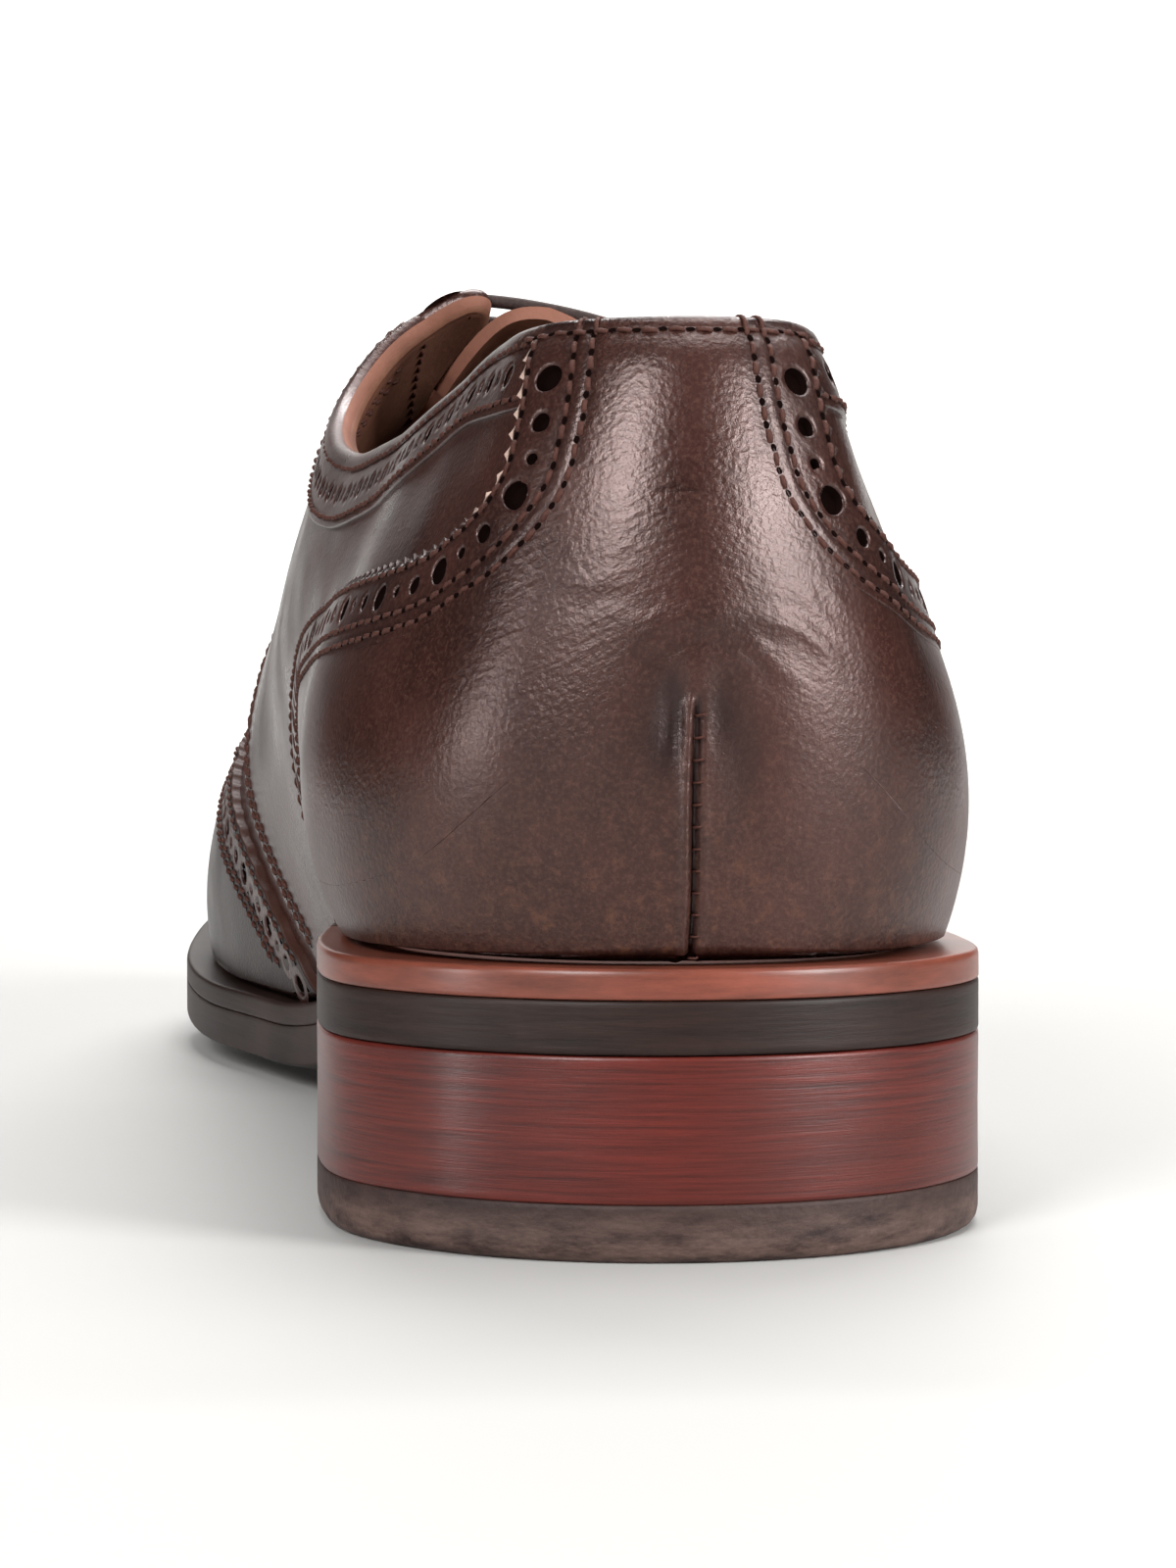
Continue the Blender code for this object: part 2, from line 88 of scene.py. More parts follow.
ridgeRows = np.array((
    (52.0, 0.0, 112.0, 0.00), (72.0, 0.0, 113.0, 0.02), (92.0, 0.0, 114.5, 0.10), (112.0, -0.2, 113.2, 0.22),
    (132.0, -0.8, 105.6, 0.28), (154.0, -1.8, 95.0, 0.27), (178.0, -2.8, 81.0, 0.20), (204.0, -3.8, 68.0, 0.12),
    (230.0, -4.5, 58.6, 0.06), (252.0, -5.0, 52.4, 0.02), (274.0, -5.0, 47.0, 0.00),
    (296.0, -5.0, 41.4, 0.00),
))
toplineRows = np.array((
    (0.00, 91.4, 91.4), (0.08, 91.2, 91.2), (0.14, 90.0, 90.2), (0.20, 86.6, 87.4), (0.26, 82.4, 84.4),
    (0.32, 79.4, 82.6), (0.37, 78.8, 82.4), (0.41, 81.5, 85.4), (0.445, 88.5, 92.0), (0.4722, 100.5, 102.5),
))
counterRows = np.array((
    (29.0, 0.425), (38.0, 0.420), (46.0, 0.410), (53.0, 0.395), (58.8, 0.372), (62.6, 0.340), (65.7, 0.270),
    (68.1, 0.165), (71.9, 0.109), (75.6, 0.0875), (80.0, 0.081), (92.0, 0.0795),
))
frontRows = np.array((
    (0.0, 0.482), (0.1, 0.515), (0.22, 0.549), (0.38, 0.573), (0.6, 0.583), (0.85, 0.578), (1.0, 0.562),
))
wingRows = np.array((
    (0.0, 0.500), (0.1, 0.539), (0.22, 0.582), (0.35, 0.625), (0.5, 0.673), (0.66, 0.715), (0.8, 0.735),
    (0.92, 0.715), (1.0, 0.690),
))


def throughRows(at, rows, column=1, flatStart=False, flatEnd=False):
    # cubic curve through one column of a table, each slope the mean of its neighbours'
    knots, values = rows[:, 0], rows[:, column]
    at = np.clip(np.asarray(at, float), knots[0], knots[-1])
    slopes = np.gradient(values, knots)
    slopes[0] *= not flatStart
    slopes[-1] *= not flatEnd
    i = np.clip(np.searchsorted(knots, at) - 1, 0, len(knots) - 2)
    gap = knots[i + 1] - knots[i]
    u = (at - knots[i]) / gap
    return ((1 + 2 * u) * (1 - u) ** 2 * values[i] + u * (1 - u) ** 2 * gap * slopes[i]
            + u * u * (3 - 2 * u) * values[i + 1] + u * u * (u - 1) * gap * slopes[i + 1])


def section(name, k):
    level = name not in ("lateral", "medial", "margin")
    return throughRows(k, sectionRows, sectionNames.index(name), level, level)


def ridge(name, y):
    return throughRows(y, ridgeRows, ridgeNames.index(name), True)


def ease(x, start, end):
    # slow-in slow-out step from 0 to 1
    u = np.clip((x - start) / (end - start), 0, 1)
    return u * u * (3 - 2 * u)


def bell(x, centre, spread):
    return np.exp(-((x - centre) / spread) ** 2)


def unit(v):
    return v / np.linalg.norm(v, axis=-1, keepdims=True)


def pathLength(points):
    return np.concatenate([[0], np.cumsum(np.linalg.norm(np.diff(points, axis=0), axis=1))])


def alongShare(k):
    return (1 - np.cos(np.pi * k)) / 2


def soleBottom(y):
    start, rise = shoe["spring"]
    lift = rise * np.clip((y - start) / (shoe["length"] - start), 0, None) ** 2
    return shoe["seat"] * (1 - ease(y, *shoe["shank"])) + lift


def edgeLift(y):
    rise, start, end = shoe["camber"]
    return rise * ease(y, start, end)


def soleEdge(a):
    k = np.abs(a)
    return np.where(a >= 0, section("lateral", k), -section("medial", k)), shoe["length"] * alongShare(k)


def solePoint(a, r):
    # plan of the sole: r = 0 on its middle line, 1 at its edge
    x, y = soleEdge(a)
    middle = section("ridge", np.abs(a))
    across = ridge("across", middle)
    return across + (x - across) * r, middle + (y - middle) * r


def soleReach(a):
    x, y = soleEdge(a)
    mx, my = solePoint(a, 0.0)
    return np.hypot(x - mx, y - my)


def soleHeight(y, r):
    camber = np.clip((r - shoe["flatShare"]) / (1 - shoe["flatShare"]), 0, None)
    return soleBottom(y) + edgeLift(y) * camber


def feather(a):
    # line where the upper meets the welt
    k = np.abs(a)
    heel, toe = shoe["margins"]
    margin = section("margin", k)
    x = np.where(a >= 0, section("lateral", k) - margin, margin - section("medial", k))
    y = heel + (shoe["length"] - heel - toe) * alongShare(k)
    return x, y, soleBottom(y) + edgeLift(y) + shoe["sole"] + shoe["welt"] + shoe["seam"]


def lastPoint(a, t):
    # the last: a superellipse rib from the welt (t = 0) to the ridge (t = 1), swung round the foot by a;
    # past the ridge it runs down the other side
    a, t = np.broadcast_arrays(np.asarray(a, float), np.asarray(t, float))
    a, t = np.where(t > 1, -a, a), np.clip(np.where(t > 1, 2 - t, t), 0, 1)
    a = np.where(np.abs(a) > 1, np.sign(a) * (np.abs(a) - 2), a)
    k = np.abs(a)
    bx, by, bz = feather(a)
    ty = section("ridge", k)
    tx, tz = ridge("across", ty), ridge("height", ty)
    slope = (ridge("height", ty + 1) - ridge("height", ty - 1)) / 2
    turn = np.pi / 2 * (1 - t)
    power = 2 / section("fullness", k)
    out, rise = np.abs(np.sin(turn)) ** power, np.abs(np.cos(turn)) ** power
    reach = np.hypot(bx - tx, by - ty)
    ux, uy = (bx - tx) / reach, (by - ty) / reach
    side = ease(a, -0.06, 0.06)
    swell = side * section("swellLateral", k) + (1 - side) * section("swellMedial", k)
    tuck = np.clip(1 - rise / section("tuck", k), 0, None) ** 2
    lean = (slope * uy - ridge("slant", ty) * ux) * (reach + swell)
    plan = (reach + swell) * out - swell * tuck
    return np.stack([tx + ux * plan, ty + uy * plan, tz + lean * out - (tz - bz + lean) * (1 - rise)], -1)


def skinSlopes(a, t):
    step = 4e-4
    t = np.clip(t, 2 * step, None)
    t = np.where(np.abs(t - 1) < 2 * step, 1 - 2 * step, t)
    return ((lastPoint(a + step, t) - lastPoint(a - step, t)) / (2 * step),
            (lastPoint(a, t + step) - lastPoint(a, t - step)) / (2 * step))


def innerSlopes(a, t):
    # slopes a little inside the ends of the rib, where they are steady
    return skinSlopes(a, np.clip(t, 0.02, 0.98))


def skinNormal(a, t):
    # outward normal; on the ridge the mean of both sides, so that they meet
    a, t = np.broadcast_arrays(np.asarray(a, float), np.asarray(t, float))
    normal = unit(np.cross(*skinSlopes(a, t)))
    top = t > 0.9995
    if np.any(top):
        normal[top] = unit(normal[top] + unit(np.cross(*skinSlopes(-a[top], t[top]))))
    return normal


# creases, in the shoe's own sizes: x across, z up, depths outwards
creases = {
    "dart": {"x": -0.4, "top": 56.2, "depth": 0.9, "lip": 0.55, "out": 0.78, "pitch": 2.1},
    "hollows": ((-3.6, 50.0, 2.6, 7.0, 0.5), (4.0, 49.0, 3.0, 8.5, 0.6), (-2.4, 53.4, 1.3, 4.2, 0.75),
                (1.8, 54.0, 1.5, 3.8, 0.45)),
    "folds": (  # each a line of places, its height and its spread
        (((-8.5, 60.2), (-4.0, 61.9), (0.6, 62.7), (6.0, 62.4)), 0.14, 1.2),
        (((4.5, 62.6), (8.6, 61.6), (11.5, 58.9), (13.2, 55.6)), 0.15, 0.95),
        (((3.0, 60.6), (6.6, 58.9), (9.8, 55.6)), 0.1, 0.85),
        (((5.6, 61.4), (8.2, 59.6), (10.4, 57.2)), 0.06, 0.7),
        (((1.6, 59.4), (4.4, 57.8), (6.4, 55.4)), 0.05, 0.7),
        (((-7.4, 58.4), (-5.6, 60.0), (-2.6, 60.3)), 0.05, 0.8),
        (((8.2, 65.8), (11.0, 63.4), (13.0, 60.6)), 0.08, 0.8),
        (((10.6, 66.6), (12.8, 64.4), (14.4, 61.6)), 0.06, 0.7),
        (((-13.0, 66.4), (-9.0, 65.4), (-5.5, 66.2)), 0.06, 0.9),
    ),
    "flex": ((191.0, 0.7), (200.0, 0.9), (210.0, 0.55)), "wave": 0.1,
}


def foldLine(x, z, places, rise, spread):
    # soft ridge along a line of places with a trough under it, dying out towards both ends
    best = np.full(np.shape(x), 1e9)
    lift, run, total = np.zeros(np.shape(x)), 0.0, pathLength(np.array(places))[-1]
    for (x0, z0), (x1, z1) in zip(places[:-1], places[1:]):
        length = np.hypot(x1 - x0, z1 - z0)
        f = np.clip(((x - x0) * (x1 - x0) + (z - z0) * (z1 - z0)) / length ** 2, 0, 1)
        gap = np.hypot(x - x0 - f * (x1 - x0), z - z0 - f * (z1 - z0))
        over = ((x1 - x0) * (z - z0) - (z1 - z0) * (x - x0)) / length
        q = np.where(over < 0, -gap, gap)
        end = (run + f * length) / total
        window = ease(end, 0.0, 0.3) * (1 - ease(end, 0.65, 1.0))
        here = window * rise * (bell(q, 0, spread) - 0.9 * bell(q, -1.9 * spread, 1.2 * spread))
        lift, best = np.where(gap < best, here, lift), np.minimum(gap, best)
        run += length
    return lift


def dartLine(z):
    # x of the dart's seam, which leans and sways a little
    return creases["dart"]["x"] + 0.010 * (z - 40) + 0.12 * np.sin(z / 4.3)


def relief(p):
    # height of the creases over the last: dart, its hollows, folds above it, and the slow waves of worn leather
    x, y, z = p[..., 0], p[..., 1], p[..., 2]
    c, d = creases, creases["dart"]
    dx = x - dartLine(z)
    notch = 0.9 + 0.1 * np.cos(2 * np.pi * z / d["pitch"])
    lips = bell(dx, -d["out"], 0.45) + 0.35 * bell(dx, d["out"], 0.42) * (1 - ease(z, 43, 53))
    dart = (1 - ease(z, d["top"] - 3.0, d["top"])) * (d["lip"] * notch * lips - d["depth"] * bell(dx, 0.08, 0.3))
    hollow = sum(-depth * bell(x, cx, rx) * bell(z, cz, rz) for cx, cz, rx, rz, depth in c["hollows"])
    wx = x + 0.35 * np.sin(z * 0.9 + 1.3) + 0.12 * np.sin(z * 2.1 + x * 0.7)
    wz = z + 0.3 * np.sin(x * 1.1 + 0.5) + 0.12 * np.sin(x * 2.3 - z * 0.8)
    fold = sum(foldLine(wx, wz, *line) for line in c["folds"])
    back = (1 - ease(y, 16, 42)) * (dart + hollow + fold)
    bent = y - 0.05 * np.abs(x) + 0.8 * np.sin(x / 6.5)
    flex = sum(depth * (0.5 * bell(bent, at + 4.5, 2.8) - bell(bent, at, 1.9)) for at, depth in c["flex"])
    flex = flex * ease(z, 36, 58)
    wave = c["wave"] * (np.sin(x / 5.1 + z / 7.7) + np.sin(y / 8.3 - z / 6.1 + 1.7) + np.sin((x + y) / 11.0 + z / 4.9))
    return back + flex + wave


def skin(a, t, offset):
    # point at an offset outside the last, with the creases added
    base = lastPoint(a, t)
    return base + skinNormal(a, t) * (np.asarray(offset) + relief(base))[..., None]


def climbTo(a, under):
    low, high = np.zeros_like(a), np.ones_like(a)
    for _ in range(36):
        middle = (low + high) / 2
        below = under(lastPoint(a, middle))
        low, high = np.where(below, middle, low), np.where(below, high, middle)
    return (low + high) / 2


def climbToHeight(a, z):
    a, z = np.broadcast_arrays(np.asarray(a, float), np.asarray(z, float))
    return climbTo(a, lambda p: p[..., 2] < z)


def climbToRidge(a, distance):
    a, distance = np.broadcast_arrays(np.asarray(a, float), np.asarray(distance, float))
    y = section("ridge", np.abs(a))
    x = ridge("across", y)
    return climbTo(a, lambda p: np.hypot(p[..., 0] - x, p[..., 1] - y) > distance)


def climbTop(a, rounded=True):
    # end of each rib: collar edge, throat edge, or the ridge
    k = np.abs(a)
    start, end, half = shoe["throat"]
    height = np.where(a >= 0, throughRows(k, toplineRows, 1, True), throughRows(k, toplineRows, 2, True))
    along = np.clip((k - start) / (end - start), 0, 1)
    radius, length = shoe["corner"]
    near = 1 - np.clip(along * length / radius, 0, 1)
    corner = radius * (1 - np.sqrt(1 - near ** 2)) * rounded
    slot = climbToRidge(a, half * np.sqrt(np.clip(1 - along ** 2.5, 0, None)) + corner)
    return np.where(k < start - 1e-6, climbToHeight(a, height), np.where(along < 1, slot, 1.0))


aTable = np.linspace(-1, 1, 4001)
topTable = climbTop(aTable)


def topOf(a):
    return np.interp(a, aTable, topTable)


def footOf(a, offset):
    return climbToHeight(a, feather(a)[2] + 0.6 * offset + 0.1)


def edgeRibbon(a, t, width, side, step=0.4):
    # strip of skin beside an edge: s runs along the edge, w walks straight in from it, in millimetres
    run = pathLength(lastPoint(a, t))
    s = np.linspace(0, run[-1], int(run[-1] / step) + 1)
    a, t = np.interp(s, run, a), np.interp(s, run, t)
    inward = -side * np.cross(skinNormal(a, t), np.gradient(lastPoint(a, t), axis=0))
    rows = [(a, t)]
    for _ in range(int(width / step) + 1):
        da, dt = skinSlopes(a, t)
        n = unit(np.cross(da, dt))
        inward = unit(inward - np.sum(inward * n, -1, keepdims=True) * n)
        aa, ab, bb = np.sum(da * da, -1), np.sum(da * dt, -1), np.sum(dt * dt, -1)
        ga, gb = np.sum(da * inward, -1), np.sum(dt * inward, -1)
        a = a + step * (ga * bb - gb * ab) / (aa * bb - ab * ab)
        t = t + step * (gb * aa - ga * ab) / (aa * bb - ab * ab)
        rows.append((a, t))
    grid = np.array(rows)
    return {"a": grid[:, 0], "t": grid[:, 1], "stepW": step, "stepS": s[1], "length": run[-1]}


def onRibbon(ribbon, s, w):
    # surface coordinates of places on a ribbon, between its four nearest grid points
    s, w = np.broadcast_arrays(np.asarray(s, float), np.asarray(w, float))
    rows, columns = ribbon["a"].shape
    j = np.clip(s / ribbon["stepS"], 0, columns - 1.001)
    i = np.clip(w / ribbon["stepW"], -1, rows - 1.001)
    i0, j0 = np.floor(np.clip(i, 0, None)).astype(int), np.floor(j).astype(int)
    u, v = i - i0, j - j0

    def mix(g):
        return ((1 - u) * ((1 - v) * g[i0, j0] + v * g[i0, j0 + 1])
                + u * ((1 - v) * g[i0 + 1, j0] + v * g[i0 + 1, j0 + 1]))
    return mix(ribbon["a"]), mix(ribbon["t"])


def alongRow(ribbon, w, distance):
    # ribbon s of places at measured distances along the row at w, which is longer or shorter than the edge
    s = np.linspace(0, ribbon["length"], 600)
    run = pathLength(lastPoint(*onRibbon(ribbon, s, w)))
    return np.interp(distance, run, s), run[-1]


def gridFaces(rows, columns, closed=False, start=0):
    i, j = np.meshgrid(np.arange(rows - 1), np.arange(columns if closed else columns - 1), indexing="ij")
    n = (j + 1) % columns
    quads = np.stack([i * columns + j, i * columns + n, (i + 1) * columns + n, (i + 1) * columns + j], -1)
    return quads.reshape(-1, 4) + start


def makePiece(name, points, groups, finishes, node=None, sharp=None, paintedShade=None):
    # one object from joined arrays: its place is in its mesh, doubles on seams are merged
    points = (np.asarray(points, float).reshape(-1, 3) - (shoe["centreX"], shoe["centreY"], 0)) * 0.001
    faces, indexes = [], []
    for group, index in groups:
        faces += group.tolist() if hasattr(group, "tolist") else group
        indexes += [index] * len(group)
    mesh = bpy.data.meshes.new(name)
    mesh.from_pydata(points.tolist(), [], faces)
    mesh.polygons.foreach_set("material_index", np.array(indexes, np.int32))
    mesh.polygons.foreach_set("use_smooth", np.ones(len(faces), bool))
    # per-point painted shade kept on the mesh; negative values are painted highlight
    if paintedShade is not None:
        mesh.attributes.new("paintedShade", "FLOAT", "POINT").data.foreach_set("value", np.asarray(paintedShade, np.float32))
    work = bmesh.new()
    work.from_mesh(mesh)
    bmesh.ops.remove_doubles(work, verts=work.verts, dist=2e-6)
    work.to_mesh(mesh)
    work.free()
    if sharp:
        mesh.set_sharp_from_angle(angle=np.radians(sharp))
    for finish in finishes:
        mesh.materials.append(finish)
    made = bpy.data.objects.new(name, mesh)
    bpy.context.scene.collection.objects.link(made)
    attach(made, "root")
    if node:
        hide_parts(node)
    print(name, len(mesh.polygons), "faces")
    return made


def rimLoop(rows, columns):
    grid = np.arange(rows * columns).reshape(rows, columns)
    return np.concatenate([grid[0], grid[1:, -1], grid[-1, ::-1][1:], grid[1:-1, 0][::-1]])


def paintedHollowShade(p):
    # painted shade: darker where the leather is hollow
    return 0.85 * ease(-relief(p), 0.12, 0.9)


def leatherSheet(name, a, t, low, high, finishes, node, holes=None, edge=0.3, paintedLight=0.0):
    # cut leather on the last: its face at one offset, its rim rounded over and turned down to the layer below
    a, t, high, paintedLight = np.broadcast_arrays(a, t, high, paintedLight)
    low = np.broadcast_to(low, a.shape)
    i, j = a.shape[0] // 2, a.shape[1] // 2
    face = skin(a[i:i + 2, j:j + 2], t[i:i + 2, j:j + 2], high[i:i + 2, j:j + 2])
    turn = np.cross(face[0, 1] - face[0, 0], face[1, 0] - face[0, 0]) @ skinNormal(a[i, j], t[i, j])
    if turn < 0:
        a, t, low, high, paintedLight = (v[:, ::-1] for v in (a, t, low, high, paintedLight))
    rows, columns = a.shape
    face = skin(a, t, high).reshape(-1, 3)
    loop = rimLoop(rows, columns)
    rimA, rimT, rimLow, rimHigh = (v.reshape(-1)[loop] for v in (a, t, low, high))
    count, size = len(face), len(loop)
    ring = np.arange(size)
    after = np.roll(ring, -1)
    upper = np.stack([count + ring, count + after, loop[after], loop[ring]], -1)
    lower = np.stack([count + size + ring, count + size + after, count + after, count + ring], -1)
    hasRim = (rimT < 0.9995) | (rimT[after] < 0.9995)  # halves that meet on the ridge have no rim there
    upper, lower = upper[hasRim], lower[hasRim]
    quads = gridFaces(rows, columns)
    if holes is not None:
        middle = face[quads].mean(1)
        for centre, radius in zip(*holes):
            quads, middle = (v[np.linalg.norm(middle - centre, axis=1) > radius + 0.75] for v in (quads, middle))
    points = np.concatenate([face, skin(rimA, rimT, rimHigh - edge), skin(rimA, rimT, rimLow)])
    # painted shade in the hollows plus the painted shade and highlight passed in; none on the rim
    dark = np.concatenate([(paintedHollowShade(lastPoint(a, t)) + paintedLight).reshape(-1), np.zeros(2 * size)])
    return makePiece(name, points, [(quads, 0), (upper, 1), (lower, 1)], finishes, node, paintedShade=dark)


def punchHoles(ribbon, s, w, radius, height, puff=None):
    # punched holes: rings round each centre, from a lip on the leather down a straight wall to a flat floor
    before, after = (alongRow(ribbon, w, s + gap)[0] for gap in (-1.0, 1.0))
    pace = ((after - before) / 2)[:, None, None]  # ribbon s for each millimetre of the row
    s, radius = alongRow(ribbon, w, s)[0][:, None, None], np.broadcast_to(radius, s.shape)[:, None, None]
    turn = np.linspace(0, 2 * np.pi, 24, endpoint=False)
    grow = np.array([1.45, 0.6, 0.16, 0.02, -0.03])[:, None]
    drop = np.array([0.0, 0.03, -0.01, -0.2, -1.0])[:, None]
    across = w + (radius + grow) * np.sin(turn)
    a, t = onRibbon(ribbon, s + pace * (radius + grow) * np.cos(turn), across)
    points = skin(a, t, height(a, t) + drop + (puff(across) if puff else 0))
    centreA, centreT = onRibbon(ribbon, s[:, 0, 0], w)
    centres = skin(centreA, centreT, height(centreA, centreT))
    return points, (centres, radius[:, 0, 0])


def holePiece(name, batches, finishes):
    points = np.concatenate(batches)
    count, rings, sides = points.shape[:3]
    one = gridFaces(rings, sides, True)
    start = (np.arange(count) * rings * sides)[:, None, None]
    lips = (one[:3 * sides] + start).reshape(-1, 4)
    walls = (one[3 * sides:] + start).reshape(-1, 4)
    floors = (np.arange(sides) + (rings - 1) * sides + start[:, 0]).reshape(-1, sides)
    test = points[0]
    facing = np.cross(test[0, 1] - test[0, 0], test[1, 0] - test[0, 0]) @ (test[0].mean(0) - test[-1].mean(0))
    if facing < 0:
        lips, walls, floors = lips[:, ::-1], walls[:, ::-1], floors[:, ::-1]
    return makePiece(name, points, [(lips, 0), (walls, 1), (floors, 1)], finishes)


threadBatches, needleBatches = [], []
thread = {"pitch": 2.3, "share": 0.74, "radius": 0.3, "hole": (0.42, 0.27)}


def stitchRow(ribbon, w, height, ends=(0.0, 1.0), puff=None, face=1):
    # row of stitches: each a short thread, a hexagon carried along the row and sunk at both ends,
    # with an oval needle hole before it; face is -1 on the lining side
    pitch = thread["pitch"]
    _, length = alongRow(ribbon, w, 0.0)
    count = max(2, int(length / pitch))
    place = ((np.arange(count) + 0.5) * pitch)[:, None, None]
    wobble = np.sin(np.arange(count) * 2.4)[:, None, None]
    u = np.array([-0.5, -0.36, 0.0, 0.36, 0.5])[:, None] * pitch * thread["share"]
    sink = np.array([-0.42, 0.0, 0.14, 0.0, -0.42])[:, None] + (puff(w) if puff else 0)
    size = thread["radius"] * np.array([0.7, 0.96, 1.05, 0.96, 0.7])[:, None] * (1 + 0.08 * wobble)
    turn = np.linspace(0, 2 * np.pi, 6, endpoint=False)
    across = w + size * np.cos(turn) + 0.10 * u + 0.06 * wobble
    s, _ = alongRow(ribbon, w, place + u)
    a, t = onRibbon(ribbon, s + 0 * turn, across)
    keep = (t.max((1, 2)) < ends[1]) & (t.min((1, 2)) > ends[0]) & np.all(t < topOf(a) - 0.002, (1, 2))
    points = skin(a, t, height(a, t) + face * (sink + size * np.sin(turn)))[keep]
    if len(points):
        threadBatches.append(points)
    if face < 0:
        return
    # needle holes: flat dark ovals just over the leather, painted shade of the holes
    turn = np.linspace(0, 2 * np.pi, 8, endpoint=False)
    long, wide = thread["hole"]
    s, _ = alongRow(ribbon, w, place[:, 0] - pitch / 2 + long * np.cos(turn))
    a, t = onRibbon(ribbon, s, w + wide * np.sin(turn) + 0.06 * wobble[:, 0])
    points = skin(a, t, height(a, t) + (puff(w + wide * np.sin(turn)) if puff else 0) + 0.1)[keep]
    if len(points):
        needleBatches.append(points)


def layThread(centres, sideways, radius):
    # thread along lines of five places: a hexagon square to each line, one side of it given
    over = np.cross(sideways, unit(np.gradient(centres, axis=1)))
    turn = np.linspace(0, 2 * np.pi, 6, endpoint=False)[:, None]
    ring = np.cos(turn) * sideways[:, :, None] + np.sin(turn) * over[:, :, None]
    threadBatches.append(centres[:, :, None] + radius * ring)


def edgeLoop(a, path):
    # thread laid over the collar edge, along places given by offset and rise
    t = topOf(a)
    along, up = (unit(v) for v in innerSlopes(a, t))
    centres = np.array([skin(a, t, offset) + up * rise for offset, rise in path])
    layThread(centres[None], np.broadcast_to(along, centres.shape)[None], 0.8 * thread["radius"])


def threadPiece(name, finish):
    points = np.concatenate(threadBatches)
    count, rings, sides = points.shape[:3]
    start = (np.arange(count) * rings * sides)[:, None, None]
    sideFaces = (gridFaces(rings, sides, True) + start).reshape(-1, 4)
    ends = np.stack([np.arange(sides)[::-1], (rings - 1) * sides + np.arange(sides)])
    capFaces = (ends + start).reshape(-1, sides)
    # a row that runs the other way has its faces turned, so each stitch is tested
    axis = points[:, -1].mean(1) - points[:, 0].mean(1)
    outward = points[:, 2, 0] - points[:, 2].mean(1)
    turned = np.sum(np.cross(points[:, 2, 1] - points[:, 2, 0], axis) * outward, -1) < 0
    flip = np.repeat(turned, (rings - 1) * sides)
    sideFaces[flip] = sideFaces[flip, ::-1]
    capFlip = np.repeat(turned, 2)
    capFaces[capFlip] = capFaces[capFlip, ::-1]
    return makePiece(name, points, [(sideFaces, 0), (capFaces, 0)], [finish], None)


def needlePiece(name, finish):
    points = np.concatenate(needleBatches)
    ovals = np.arange(points.shape[0] * points.shape[1]).reshape(points.shape[:2])
    ring = points - points.mean(1, keepdims=True)
    facing = np.cross(ring[:, 0], ring[:, 2])
    outward = points.mean(1) - np.array([0.0, 1.0, 0.0]) * np.clip(points.mean(1)[:, 1:2], 35, 270) - (0, 0, 55)
    turned = np.sum(facing * outward, -1) < 0
    ovals[turned] = ovals[turned, ::-1]
    return makePiece(name, points, [(ovals, 0)], [finish], None)


def hexColour(text):
    srgb = np.array([int(text[i:i + 2], 16) / 255 for i in (1, 3, 5)])
    return (*np.where(srgb <= 0.04045, srgb / 12.92, ((srgb + 0.055) / 1.055) ** 2.4), 1.0)


def addNode(tree, kind, inputs=None, **settings):
    made = tree.nodes.new("ShaderNode" + kind)
    for name, value in settings.items():
        setattr(made, name, value)
    for name, value in (inputs or {}).items():
        if isinstance(value, bpy.types.NodeSocket):
            tree.links.new(value, made.inputs[name])
        else:
            made.inputs[name].default_value = value
    return made


def newFinish(name, roughness, ior=1.5, **sockets):
    made = bpy.data.materials.new(name)
    made.use_nodes = True
    shader = made.node_tree.nodes["Principled BSDF"]
    shader.inputs["Roughness"].default_value = roughness
    shader.inputs["IOR"].default_value = ior
    for socket, value in sockets.items():
        shader.inputs[socket.replace("_", " ")].default_value = value
    place = addNode(made.node_tree, "TexCoord").outputs["Object"]
    return made, made.node_tree, shader, place


